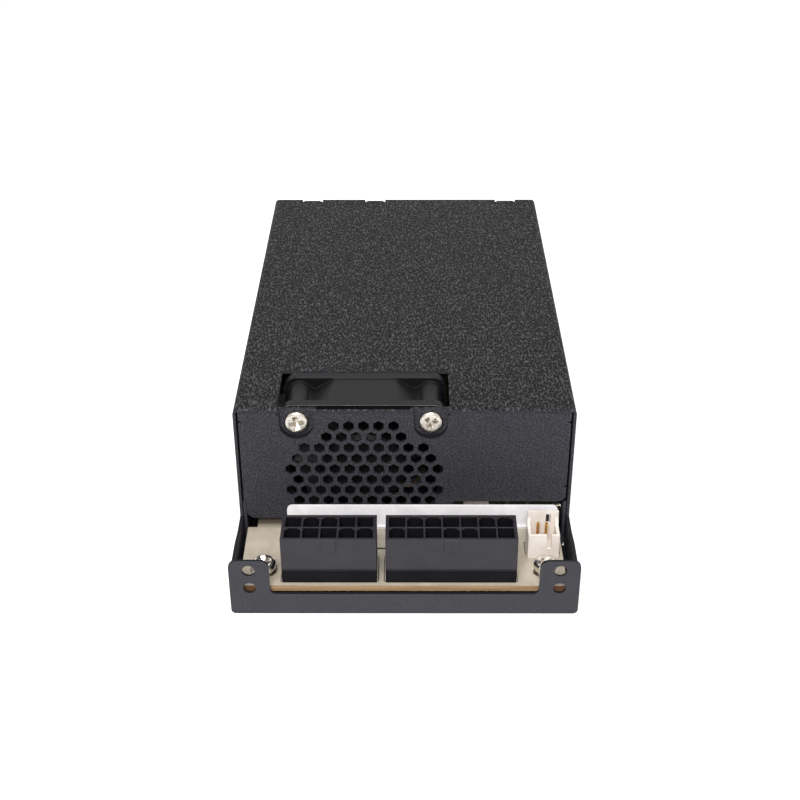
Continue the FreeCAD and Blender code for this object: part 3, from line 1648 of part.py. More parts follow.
keep("base_tray", base_tray())
keep("top_cover", top_cover())
keep("cover_screws", cover_screws())
keep("fan_frame", fan_frame())
keep("fan_rotor", fan_rotor())
keep("fan_shaft", fan_shaft())
keep("fan_magnet", fan_magnet())
keep("fan_bearing", fan_bearing())
keep("fan_circuit_board", fan_circuit_board())
keep("fan_stator", fan_stator())
keep("fan_coils", fan_coils())
keep("fan_screws", fan_screws())
keep("fan_leads", fan_leads())
keep("fan_plug", fan_plug())
keep("fan_header", fan_header())
keep("insulation_sheet", insulation_sheet())
keep("board_standoffs", board_standoffs())
keep("main_board", main_board())
keep("board_flat_washers", flat_washers())
keep("board_spring_washers", spring_washers())
keep("board_screws", board_screws())
keep("output_header_10", output_header(header_left, *TEN_WAY))
keep("output_terminals_10", output_terminals(header_left, TEN_WAY[0]))
keep("output_header_14", output_header(header_right, *FOURTEEN_WAY))
keep("output_terminals_14", output_terminals(header_right, FOURTEEN_WAY[0]))
keep("sense_header", sense_header())
keep("sense_pins", sense_pins())
keep("air_baffle", air_baffle())
keep("ac_inlet", ac_inlet())
keep("ac_inlet_blades", ac_inlet_blades())
keep("ac_inlet_screws", ac_inlet_screws())
for wire in ("live", "neutral", "earth"):
    keep(f"{wire}_lead", inlet_lead(wire))
keep("line_fuse", line_fuse())
keep("fuse_clips", fuse_clips())
keep("x_capacitor", x_capacitor())
keep("y_capacitors", y_capacitors())
keep("varistor", disc((varistor_x, varistor_y), size.varistor_radius))
keep("inrush_thermistor", disc((varistor_x, varistor_y - size.disc_spacing), size.varistor_radius))
keep("line_choke_core", choke_core(*line_choke))
keep("line_choke_windings", line_choke_windings())
keep("primary_heatsink", heatsink(primary_x, primary_y, -1))
keep("bridge_rectifier", bridge_rectifier())
keep("primary_transistors", transistor_pair(primary_x[0], primary_y[0], size.transistor_pitch, -1))
keep("bulk_capacitor", bulk_capacitor())
keep("pfc_choke_core", choke_core(*pfc_choke))
keep("pfc_choke_winding", choke_winding(*pfc_choke, 300))
keep("main_transformer_core", transformer_core(*main_transformer))
keep("main_transformer_winding", transformer_winding(*main_transformer, size.winding_overhang))
keep("standby_transformer_core", transformer_core(*standby_transformer))
keep("standby_transformer_winding", transformer_winding(*standby_transformer, size.standby_winding_overhang))
keep("optocouplers", optocouplers())
keep("control_board", control_board())
keep("secondary_heatsink", heatsink(secondary_x, secondary_y, 1))
keep("secondary_rectifiers", transistor_pair(secondary_x[1], secondary_y[0], size.rectifier_pitch, 1))
keep("output_choke_core", choke_core(*output_choke))
keep("output_choke_winding", choke_winding(*output_choke, 300))
keep("output_capacitors", output_capacitors())
keep("current_shunt", current_shunt())

doc.recompute()
for item in doc.Objects:
    if "Invalid" in item.State or "Error" in item.State:
        raise ValueError(f"{item.Name} is not valid")
for piece in pieces:
    if piece.Shape.isNull() or not piece.Shape.isValid():
        raise ValueError(f"{piece.Label} has no valid shape")

os.makedirs("parts", exist_ok=True)
for piece in pieces:
    piece.Shape.exportStep(f"parts/{piece.Label}.step")
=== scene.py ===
import math

import bmesh
import bpy
from mathutils import Matrix, Vector


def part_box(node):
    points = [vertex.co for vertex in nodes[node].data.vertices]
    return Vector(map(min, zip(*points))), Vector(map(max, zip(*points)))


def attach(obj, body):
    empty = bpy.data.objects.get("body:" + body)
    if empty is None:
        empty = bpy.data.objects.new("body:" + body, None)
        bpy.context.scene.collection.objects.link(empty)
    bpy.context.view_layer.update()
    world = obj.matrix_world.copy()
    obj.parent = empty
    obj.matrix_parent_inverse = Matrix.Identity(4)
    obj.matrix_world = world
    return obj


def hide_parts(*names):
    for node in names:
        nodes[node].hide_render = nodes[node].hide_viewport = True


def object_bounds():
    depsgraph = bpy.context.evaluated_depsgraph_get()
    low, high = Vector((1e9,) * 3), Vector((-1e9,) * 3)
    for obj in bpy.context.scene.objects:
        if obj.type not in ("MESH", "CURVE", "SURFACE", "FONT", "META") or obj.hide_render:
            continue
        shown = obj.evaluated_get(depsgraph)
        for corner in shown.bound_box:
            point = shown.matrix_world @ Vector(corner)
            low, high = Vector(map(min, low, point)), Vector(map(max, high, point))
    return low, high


# Looks of a slim flex ATX power supply: black crinkle-coated case, fan behind a hexagon grille,
# and a board shelf with two output headers, a small white header and a white air baffle.

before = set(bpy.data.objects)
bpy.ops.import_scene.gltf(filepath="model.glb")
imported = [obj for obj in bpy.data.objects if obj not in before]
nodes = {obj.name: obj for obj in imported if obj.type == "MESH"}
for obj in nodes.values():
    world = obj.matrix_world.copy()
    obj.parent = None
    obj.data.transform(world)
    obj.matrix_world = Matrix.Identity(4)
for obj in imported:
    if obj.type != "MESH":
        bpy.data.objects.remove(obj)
cad_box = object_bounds()

MM = 0.001
CASE = "case"
WHITE = (1, 1, 1, 1)
# Points closer than this count as one
WELD = 0.001 * MM

# Kinds of node that come up often, with their settings
PLUS = ("ShaderNodeMath", {"operation": "ADD"})
MINUS = ("ShaderNodeMath", {"operation": "SUBTRACT"})
TIMES = ("ShaderNodeMath", {"operation": "MULTIPLY"})
TIMES_PLUS = ("ShaderNodeMath", {"operation": "MULTIPLY_ADD"})
OVER = ("ShaderNodeMath", {"operation": "DIVIDE"})
POWER = ("ShaderNodeMath", {"operation": "POWER"})
SIZE_OF = ("ShaderNodeMath", {"operation": "ABSOLUTE"})
LARGER = ("ShaderNodeMath", {"operation": "MAXIMUM"})
LENGTH = ("ShaderNodeVectorMath", {"operation": "LENGTH"})
VECTOR = ("ShaderNodeCombineXYZ", None)
AXES = ("ShaderNodeSeparateXYZ", None)
SCALED = ("ShaderNodeMapping", None)
RANGE = ("ShaderNodeMapRange", None)
NOISE = ("ShaderNodeTexNoise", None)
RAMP = ("ShaderNodeValToRGB", None)
BUMP = ("ShaderNodeBump", None)
BLEND = ("ShaderNodeMix", {"data_type": "RGBA"})
RESHAPE = ("GeometryNodeSetPosition", None)
MOVE = ("GeometryNodeTransform", None)
# A colour blend's sockets by number, because their names repeat
FACTOR, UNDER, ABOVE, BLENDED = 0, 6, 7, 2


# Small helpers

def linear(code):
    """Linear colour from an sRGB hex value."""
    channels = [int(code[i:i + 2], 16) / 255 for i in (0, 2, 4)]
    return *(c / 12.92 if c <= 0.04045 else ((c + 0.055) / 1.055) ** 2.4 for c in channels), 1.0


def per_mm(size_mm):
    """Texture scale at which one feature is that many millimetres across."""
    return 1 / (size_mm * MM)


def feed(tree, node, inputs):
    """Sets or links a node's inputs, by name or number; a node stands for its first output."""
    for key, value in inputs.items():
        for part in value if isinstance(value, list) else [value]:
            source = part.outputs[0] if isinstance(part, bpy.types.Node) else part
            if isinstance(source, bpy.types.NodeSocket):
                tree.links.new(source, node.inputs[key])
            else:
                node.inputs[key].default_value = source


def add(tree, kind, settings=None, inputs=None, stops=None):
    """Adds a node with its properties, its inputs, by name or as a list, and its ramp's colours."""
    node = tree.nodes.new(kind)
    for name, value in (settings or {}).items():
        setattr(node, name, value)
    feed(tree, node, dict(enumerate(inputs)) if isinstance(inputs, list) else inputs or {})
    for number, (position, code) in enumerate(stops or []):
        elements = node.color_ramp.elements
        element = elements[number] if number < len(elements) else elements.new(position)
        element.position, element.color = position, linear(code)
    return node


def blank(name):
    """New material: its tree, its Principled shader and its Object coordinates."""
    material = bpy.data.materials.new(name)
    material.use_nodes = True
    tree = material.node_tree
    place = add(tree, "ShaderNodeTexCoord").outputs["Object"]
    return material, tree, tree.nodes["Principled BSDF"], place


# Materials

def crinkle_coat(name, ridge_mm, ridge_tall_mm, painted_light_top_tones, side_tones):
    """Black powder coat baked to a crinkle: dull, with close ridges that catch raking light; on the top
    its colour holds painted highlight on the wrinkles and painted shade in the pits.

    The real grain of the tray is too fine to show, so it is drawn coarser.
    """
    material, tree, shader, place = blank(name)
    mottle_mm, mottle_share = 5.0, 0.06
    pit_wide_mm, pit_long_mm = 0.44, 1.05
    wander_share = 0.7
    net_stops, ridge_stops = (0.15, 0.5, 0.95), (0.34, 0.52, 0.76)
    skin_start, skin_end = cad_box[1].z - 0.9 * MM, cad_box[1].z - 0.3 * MM
    fine = add(tree, *NOISE, {
        "Vector": place, "Scale": per_mm(ridge_mm), "Detail": 2.0, "Roughness": 0.6, "Distortion": 0.4,
    })
    mottle = add(tree, *NOISE, {"Vector": place, "Scale": per_mm(mottle_mm), "Detail": 2.0})
    # On the top of the case the crinkle is drawn deeper, and its colour there holds painted highlight and
    # painted shade
    normal = add(tree, "ShaderNodeNewGeometry").outputs["True Normal"]
    up = add(tree, *AXES, [normal]).outputs["Z"]
    height = add(tree, *AXES, [place]).outputs["Z"]
    near_top = add(tree, *RANGE, {"Value": height, "From Min": skin_start, "From Max": skin_end})
    top_face = add(tree, *TIMES, [up, near_top])
    # There it is a net of wrinkles round pits, which are longer than wide; the pale wrinkles are painted
    # highlight and the dark pits painted shade
    pits = add(tree, *SCALED, {
        "Vector": place, "Scale": (per_mm(pit_wide_mm), per_mm(pit_long_mm), per_mm(pit_wide_mm)),
    })
    wander = add(tree, *NOISE, {"Vector": pits, "Scale": 1.3, "Detail": 1.0}).outputs["Color"]
    bent = add(tree, "ShaderNodeVectorMath", {"operation": "MULTIPLY_ADD"}, [
        wander, (wander_share, wander_share, wander_share), pits,
    ])
    net = add(tree, "ShaderNodeTexVoronoi", None, {"Vector": bent, "Scale": 1.0})
    ridges = add(tree, "ShaderNodeMix", None, {0: top_face, 2: fine, 3: net})
    tone = add(tree, *TIMES_PLUS, [mottle, mottle_share, ridges])
    # The first ramp, for the top, holds painted highlight on the wrinkles and painted shade in the pits;
    # the second is the even tone of the sides
    thick, side_colour = [
        add(tree, *RAMP, {"Fac": tone}, list(zip(stops, tones)))
        for stops, tones in ((net_stops, painted_light_top_tones), (ridge_stops, side_tones))
    ]
    # Faces that look up but lie below the top of the case, such as the lower walls of the holes and
    # slots, get painted shade
    ledge = add(tree, *RANGE, {"Value": up, "From Min": 0.15, "From Max": 0.45})
    painted_ledge_shade = add(tree, *TIMES, [ledge, add(tree, *MINUS, [1.0, near_top])])
    faces = add(tree, *BLEND, {FACTOR: painted_ledge_shade, UNDER: side_colour, ABOVE: linear("18181b")}).outputs[BLENDED]
    colour = add(tree, *BLEND, {FACTOR: top_face, UNDER: faces, ABOVE: thick}).outputs[BLENDED]
    rough = add(tree, *RANGE, {"Value": ridges, "To Min": 0.75, "To Max": 0.5})
    bump = add(tree, *BUMP, {"Height": ridges, "Strength": 1.0, "Distance": ridge_tall_mm * MM})
    feed(tree, shader, {
        "Base Color": colour, "Roughness": rough, "Specular IOR Level": 0.14, "Normal": bump,
    })
    return material


def moulded(name, dark, light, grain_mm, rough, bump_mm=0.01, specular=0.5):
    """Moulded, cast or dipped surface: even colour with faint flow clouds under a fine grain.

    Real grain is a few hundredths of a millimetre, so it is drawn coarser to show at all.
    """
    material, tree, shader, place = blank(name)
    flow_mm, grain_share, gloss_swing = 7.0, 0.4, 0.06
    grain = add(tree, *NOISE, {
        "Vector": place, "Scale": per_mm(grain_mm), "Detail": 3.0, "Roughness": 0.6,
    })
    flow = add(tree, *NOISE, {
        "Vector": place, "Scale": per_mm(flow_mm), "Detail": 1.0, "Distortion": 1.2,
    })
    tone = add(tree, *TIMES_PLUS, [grain, grain_share, flow])
    colour = add(tree, *RAMP, {"Fac": tone}, [(0.45, dark), (0.95, light)])
    gloss = add(tree, *RANGE, {
        "Value": grain, "To Min": rough - gloss_swing, "To Max": rough + gloss_swing,
    })
    bump = add(tree, *BUMP, {"Height": grain, "Strength": 0.4, "Distance": bump_mm * MM})
    feed(tree, shader, {
        "Base Color": colour, "Roughness": gloss, "Specular IOR Level": specular, "Normal": bump,
    })
    return material


def plated(name, dark, light, rough):
    """Plated or bare metal: small dull spots in a bright face, drawn coarser than real to show."""
    material, tree, shader, place = blank(name)
    spot_mm, gloss_swing = 0.6, 0.16
    spots = add(tree, *NOISE, {
        "Vector": place, "Scale": per_mm(spot_mm), "Detail": 3.0, "Roughness": 0.65,
    })
    colour = add(tree, *RAMP, {"Fac": spots}, [(0.3, dark), (0.65, light)])
    gloss = add(tree, *RANGE, {"Value": spots, "To Min": rough, "To Max": rough + gloss_swing})
    feed(tree, shader, {"Base Color": colour, "Metallic": 1.0, "Roughness": gloss})
    return material


def painted_highlight_plastic(low, high):
    """Edges of the fan frame: a grey painted highlight on dull black, palest on top in front."""
    material, tree, shader, place = blank("black_pbt_painted_highlight")
    highlight_mottle_mm = 1.5
    axes = add(tree, *AXES, [place]).outputs
    front = add(tree, *RANGE, {
        "Value": axes["Y"], "From Min": low.y + 0.3 * MM, "From Max": low.y + 0.6 * MM,
        "To Min": 1.0, "To Max": 0.0,
    })
    top = add(tree, *RANGE, {
        "Value": axes["Z"], "From Min": high.z - 1.0 * MM, "From Max": high.z - 0.5 * MM,
    })
    # Painted highlight, palest along the top of the front edge
    highlit = add(tree, *TIMES, [front, top])
    highlight_mottle = add(tree, *NOISE, {"Vector": place, "Scale": per_mm(highlight_mottle_mm), "Detail": 3.0})
    pale = add(tree, *RAMP, {"Fac": highlight_mottle}, [(0.3, "7c7c7e"), (0.7, "b4b4b6")])
    colour = add(tree, *BLEND, {FACTOR: highlit, UNDER: linear("4c4c4f"), ABOVE: pale}).outputs[BLENDED]
    feed(tree, shader, {"Base Color": colour, "Roughness": 0.4})
    return material


def enamelled_wire():
    """Copper wire in clear enamel: warm gloss, with a slight change of tone from turn to turn."""
    material, tree, shader, place = blank("enamelled_copper")
    turn_mm = 0.9
    turns = add(tree, *NOISE, {"Vector": place, "Scale": per_mm(turn_mm), "Detail": 2.0})
    colour = add(tree, *RAMP, {"Fac": turns}, [(0.3, "7d3a18"), (0.7, "b5622f")])
    gloss = add(tree, *RANGE, {"Value": turns, "To Min": 0.22, "To Max": 0.36})
    feed(tree, shader, {
        "Base Color": colour, "Metallic": 1.0, "Roughness": gloss,
        "Coat Weight": 0.6, "Coat Roughness": 0.12,
    })
    return material


def board_laminate():
    """Paper laminate: cream face with painted shade inside the case, and brown layers at the edge with
    painted shade near the corners.
    """
    material, tree, shader, place = blank("paper_laminate_board")
    cloud_mm, ply_long_mm, ply_thick_mm = 3.5, 14.0, 0.35
    inner_shade_start, inner_shade_end = -51.5 * MM, -49 * MM
    corner_shade_start, corner_shade_end = 32 * MM, 34 * MM
    shade_share = 0.85
    axes = add(tree, *AXES, [place]).outputs
    cloud = add(tree, *NOISE, {
        "Vector": place, "Scale": per_mm(cloud_mm), "Detail": 4.0, "Roughness": 0.6,
    })
    cream = add(tree, *RAMP, {"Fac": cloud}, [(0.3, "a89e8e"), (0.7, "bbb2a2")])
    # Inside the case, behind the front strip, the face gets painted shade
    inner_shade = add(tree, *RANGE, {
        "Value": axes["Y"], "From Min": inner_shade_start, "From Max": inner_shade_end, "To Max": shade_share,
    })
    face = add(tree, *BLEND, {FACTOR: inner_shade, UNDER: cream, ABOVE: linear("3b3123")}).outputs[BLENDED]
    layers = add(tree, *SCALED, {
        "Vector": place, "Scale": (per_mm(ply_long_mm), per_mm(ply_long_mm), per_mm(ply_thick_mm)),
    })
    plies = add(tree, *NOISE, {"Vector": layers, "Scale": 1.0, "Detail": 2.0})
    routed = add(tree, *RAMP, {"Fac": plies}, [(0.3, "866a49"), (0.7, "ad916d")])
    # Near the corners, behind the ears, the edge gets painted shade
    outward = add(tree, *SIZE_OF, [axes["X"]])
    corner_shade = add(tree, *RANGE, {
        "Value": outward, "From Min": corner_shade_start, "From Max": corner_shade_end, "To Max": shade_share,
    })
    edge = add(tree, *BLEND, {FACTOR: corner_shade, UNDER: routed, ABOVE: linear("5a3826")}).outputs[BLENDED]
    normal = add(tree, "ShaderNodeNewGeometry").outputs["True Normal"]
    flat = add(tree, *SIZE_OF, [add(tree, *AXES, [normal]).outputs["Z"]])
    colour = add(tree, *BLEND, {FACTOR: flat, UNDER: edge, ABOVE: face}).outputs[BLENDED]
    gloss = add(tree, *RANGE, {"Value": cloud, "To Min": 0.35, "To Max": 0.5})
    feed(tree, shader, {"Base Color": colour, "Roughness": gloss})
    return material


def rolled_aluminium():
    """Rolled aluminium plate: straight lines along its length, drawn coarser than real to show."""
    material, tree, shader, place = blank("rolled_aluminium")
    line_wide_mm, line_long_mm = 0.4, 12.0
    along = add(tree, *SCALED, {
        "Vector": place, "Scale": (per_mm(line_wide_mm), per_mm(line_long_mm), per_mm(line_wide_mm)),
    })
    lines = add(tree, *NOISE, {"Vector": along, "Scale": 1.0, "Detail": 2.0})
    colour = add(tree, *RAMP, {"Fac": lines}, [(0.3, "9da0a4"), (0.7, "c6c9cc")])
    gloss = add(tree, *RANGE, {"Value": lines, "To Min": 0.3, "To Max": 0.45})
    feed(tree, shader, {"Base Color": colour, "Metallic": 1.0, "Roughness": gloss})
    return material


# Baked powder coat: near-black sheet, with a net of wrinkles on top whose pale ridges are painted
# highlight and dark pits painted shade, and an even grain elsewhere
coat = crinkle_coat("crinkle_powder_coat", 0.42, 0.26,
                    ("000001", "101011", "505053"), ("25242a", "303035", "4a494f"))
tray_coat = crinkle_coat("fine_powder_coat", 0.3, 0.12,
                         ("0c0c0d", "161617", "3c3c3e"), ("313035", "39383d", "454449"))
# Powder coat that flowed thinner over sharp edges: a paler line round folds and holes, partly that coat
# and partly painted highlight
edge_coat_and_highlight = moulded("thinned_coat_painted_edge_highlight", "56555a", "68676d", 0.4, 0.5, specular=0.25)

# Zinc plate on steel: warm grey shine, rougher and with painted shade in the screws' recesses, brighter
# on the board
zinc = plated("zinc_plated_steel", "aaa49a", "d6d0c6", 0.16)
recess_zinc_shade = plated("dull_zinc_painted_recess_shade", "5f5a52", "8d877e", 0.32)
bright_zinc = plated("bright_zinc_plate", "c9c3b9", "f0ebe3", 0.14)
# Tin plate on copper: a softer, whiter shine
tin = plated("tin_plate", "aaa8a2", "d2d0ca", 0.24)
# Gilt brass: warm yellow glints on the small pins
gilt = plated("gilt_brass", "b9822f", "e6b864", 0.28)
# Punched core steel: dark grey, hardly shining
core_steel = plated("stacked_core_steel", "55585c", "7c8084", 0.35)
# Turned brass shines yellow; sintered bronze is browner and dull
brass = plated("turned_brass", "96742f", "c7a35a", 0.2)
bronze = plated("sintered_bronze", "6d5327", "96763f", 0.4)
# Copper and aluminium, as their functions say
copper = enamelled_wire()
aluminium = rolled_aluminium()

# Moulded polyester of the fan: dull black, with painted highlight on its edges
fan_plastic = moulded("black_pbt", "0b0b0c", "121213", 0.4, 0.45, specular=0.2)
painted_edge_highlight = painted_highlight_plastic(*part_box("fan_frame"))
# Moulded nylon of the mains inlet: plain black with a soft sheen
inlet_plastic = moulded("black_nylon_inlet", "151517", "1e1e20", 0.5, 0.45)
# Moulded nylon of the output headers: satin black, with painted shade darkening it towards the foot and
# in the cavities, which are also matt
header_satin = moulded("satin_black_nylon", "19171c", "232027", 0.35, 0.5, specular=0.38)
header_shade = moulded("half_shaded_nylon", "0e0d10", "151318", 0.35, 0.55, specular=0.2)
header_foot_shade = moulded("black_nylon_painted_foot_shade", "040405", "070608", 0.35, 0.6, specular=0.03)
header_cavity_shade = moulded("matt_nylon_painted_cavity_shade", "0b0a0d", "111014", 0.5, 0.75, specular=0.1)
# Uncoloured nylon: warm ivory with a waxy sheen
natural_nylon = moulded("natural_nylon", "d4cac0", "e5ddd6", 0.6, 0.38)
# Pressed fibre sheet: flat, cool white
baffle_sheet = moulded("white_fibre_sheet", "e4e2e5", "f4f2f4", 0.9, 0.5)

# Paper laminate, as its function says
laminate = board_laminate()
# Solder resist: glossy green lacquer
green_resist = moulded("green_solder_resist", "1d5233", "2f7048", 0.8, 0.3)
# Screen ink: flat dark brown lines
legend_ink = moulded("legend_ink", "26231f", "3a362f", 0.5, 0.6)
# Polyester film and tape: smooth shine, grey or brownish yellow
film = moulded("polyester_film", "3a3a39", "484846", 1.5, 0.25)
yellow_tape = moulded("polyester_tape", "4a3f1c", "5d5026", 2.5, 0.28)
# Sintered ferrite: dull charcoal with a rough grain
ferrite = moulded("sintered_ferrite", "2a2a2e", "3a3a3f", 0.3, 0.55, bump_mm=0.02)
# Shrunk sleeve: tight, glossy blue-black skin
sleeve = moulded("shrunk_sleeve", "121823", "1f2a3a", 2.0, 0.2)
# Moulded polyester case: glossy yellow box
yellow_case = moulded("yellow_polyester_case", "c49420", "dcae34", 0.8, 0.3)
# Epoxy: glossy blue where dipped, matt black where moulded
blue_dip = moulded("blue_dipped_epoxy", "244f8b", "356cb5", 1.2, 0.25)
black_epoxy = moulded("moulded_epoxy", "1b1b1d", "29292b", 0.3, 0.5)
# Glazed ceramic: glossy off-white
white_ceramic = moulded("glazed_ceramic", "d6d1c6", "e8e4db", 1.0, 0.25)
# PVC insulation: soft sheen in the leads' colours
black_pvc = moulded("black_pvc", "1d1d20", "2b2b2f", 0.8, 0.4)
brown_pvc = moulded("brown_pvc", "533119", "6e4427", 0.8, 0.4)
blue_pvc = moulded("blue_pvc", "1f4f96", "2e66b4", 0.8, 0.4)
green_pvc = moulded("green_pvc", "3d7a2f", "579a45", 0.8, 0.4)

FINISHES = {
    coat: ["top_cover"],
    tray_coat: ["base_tray"],
    zinc: ["fan_shaft", "board_spring_washers"],
    bright_zinc: ["board_flat_washers"],
    tin: ["output_terminals_10", "output_terminals_14", "ac_inlet_blades", "fuse_clips",
          "current_shunt"],
    gilt: ["sense_pins"],
    fan_plastic: ["fan_frame", "fan_rotor"],
    inlet_plastic: ["ac_inlet"],
    natural_nylon: ["sense_header", "fan_plug", "fan_header", "optocouplers"],
    baffle_sheet: ["air_baffle"],
    laminate: ["main_board"],
    green_resist: ["fan_circuit_board", "control_board"],
    film: ["insulation_sheet"],
    copper: ["fan_coils"],
    ferrite: ["fan_magnet", "line_choke_core", "pfc_choke_core", "main_transformer_core",
              "standby_transformer_core", "output_choke_core"],
    core_steel: ["fan_stator"],
    aluminium: ["primary_heatsink", "secondary_heatsink"],
    brass: ["board_standoffs"],
    bronze: ["fan_bearing"],
    sleeve: ["bulk_capacitor", "output_capacitors"],
    yellow_case: ["x_capacitor"],
    yellow_tape: ["main_transformer_winding", "standby_transformer_winding"],
    blue_dip: ["y_capacitors", "varistor"],
    black_epoxy: ["inrush_thermistor", "bridge_rectifier", "primary_transistors",
                  "secondary_rectifiers"],
    white_ceramic: ["line_fuse"],
    black_pvc: ["fan_leads"],
    brown_pvc: ["live_lead"],
    blue_pvc: ["neutral_lead"],
    green_pvc: ["earth_lead"],
}
for finish, names in FINISHES.items():
    for name in names:
        nodes[name].data.materials.clear()
        nodes[name].data.materials.append(finish)


# Pieces

def settle(name, mesh, replaced):
    """Links a finished mesh as a piece of the case, in place of the CAD nodes that it stands for."""
    piece = bpy.data.objects.new(name, mesh)
    bpy.context.collection.objects.link(piece)
    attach(piece, CASE)
    if replaced:
        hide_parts(*replaced)


def tree_with(name, sizes):
    """Geometry tree with points coming in, named number inputs, a finish and one geometry going out."""
    tree = bpy.data.node_groups.new(name, "GeometryNodeTree")
    tree.interface.new_socket("Points", in_out="INPUT", socket_type="NodeSocketGeometry")
    for label in sizes:
        tree.interface.new_socket(label, in_out="INPUT", socket_type="NodeSocketFloat")
    tree.interface.new_socket("Finish", in_out="INPUT", socket_type="NodeSocketMaterial")
    tree.interface.new_socket("Pieces", in_out="OUTPUT", socket_type="NodeSocketGeometry")
    return tree, add(tree, "NodeGroupInput").outputs


def end_tree(tree, sizes, shape):
    """Sets one shape on each incoming point, facing and twisted as that point says, as plain faces."""
    facing, twist = [
        add(tree, "GeometryNodeInputNamedAttribute", {"data_type": kind}, {"Name": name})
        for name, kind in (("facing", "FLOAT_VECTOR"), ("twist", "FLOAT"))
    ]
    turned = add(tree, "FunctionNodeAlignRotationToVector", {"axis": "Z"}, {"Vector": facing})
    spun = add(tree, "FunctionNodeAxisAngleToRotation", None, {"Axis": (0.0, 0.0, 1.0), "Angle": twist})
    way = add(tree, "FunctionNodeRotateRotation", {"rotation_space": "LOCAL"}, {
        "Rotation": turned, "Rotate By": spun,
    })
    placed = add(tree, "GeometryNodeInstanceOnPoints", None, {
        "Points": sizes["Points"], "Instance": shape, "Rotation": way,
    })
    real = add(tree, "GeometryNodeRealizeInstances", None, {"Geometry": placed})
    finished = add(tree, "GeometryNodeSetMaterial", None, {"Geometry": real, "Material": sizes["Finish"]})
    add(tree, "NodeGroupOutput", None, {"Pieces": finished})


def grow_mesh(name, tree, spots, facings, finish, values, twists=None):
    """Runs a geometry tree on points and keeps the result as a plain mesh."""
    base = bpy.data.meshes.new(name + "_points")
    base.from_pydata([tuple(spot) for spot in spots], [], [])
    # Each attribute is filled before the next is made, which would move it
    facing = base.attributes.new("facing", "FLOAT_VECTOR", "POINT")
    for number, way in enumerate(facings):
        facing.data[number].vector = way
    twist = base.attributes.new("twist", "FLOAT", "POINT")
    for number in range(len(spots)):
        twist.data[number].value = twists[number] if twists else 0.0
    carrier = bpy.data.objects.new(name + "_points", base)
    bpy.context.collection.objects.link(carrier)
    grower = carrier.modifiers.new("grow", "NODES")
    grower.node_group = tree
    for socket in tree.interface.items_tree:
        if socket.in_out == "INPUT" and socket.name in values:
            grower[socket.identifier] = values[socket.name]
        elif socket.in_out == "INPUT" and socket.name == "Finish":
            grower[socket.identifier] = finish
    bpy.context.view_layer.update()
    evaluated = carrier.evaluated_get(bpy.context.evaluated_depsgraph_get())
    mesh = bpy.data.meshes.new_from_object(evaluated)
    mesh.name = name
    carrier.modifiers.remove(grower)
    bpy.data.objects.remove(carrier)
    for face in mesh.polygons:
        face.use_smooth = True
    mesh.set_sharp_from_angle(angle=math.radians(32))
    return mesh


SCREW_SIZES = ["Head radius", "Head height", "Crown drop", "Crown power", "Shank radius", "Length",
               "Pitch", "Recess width", "Recess reach", "Recess depth"]


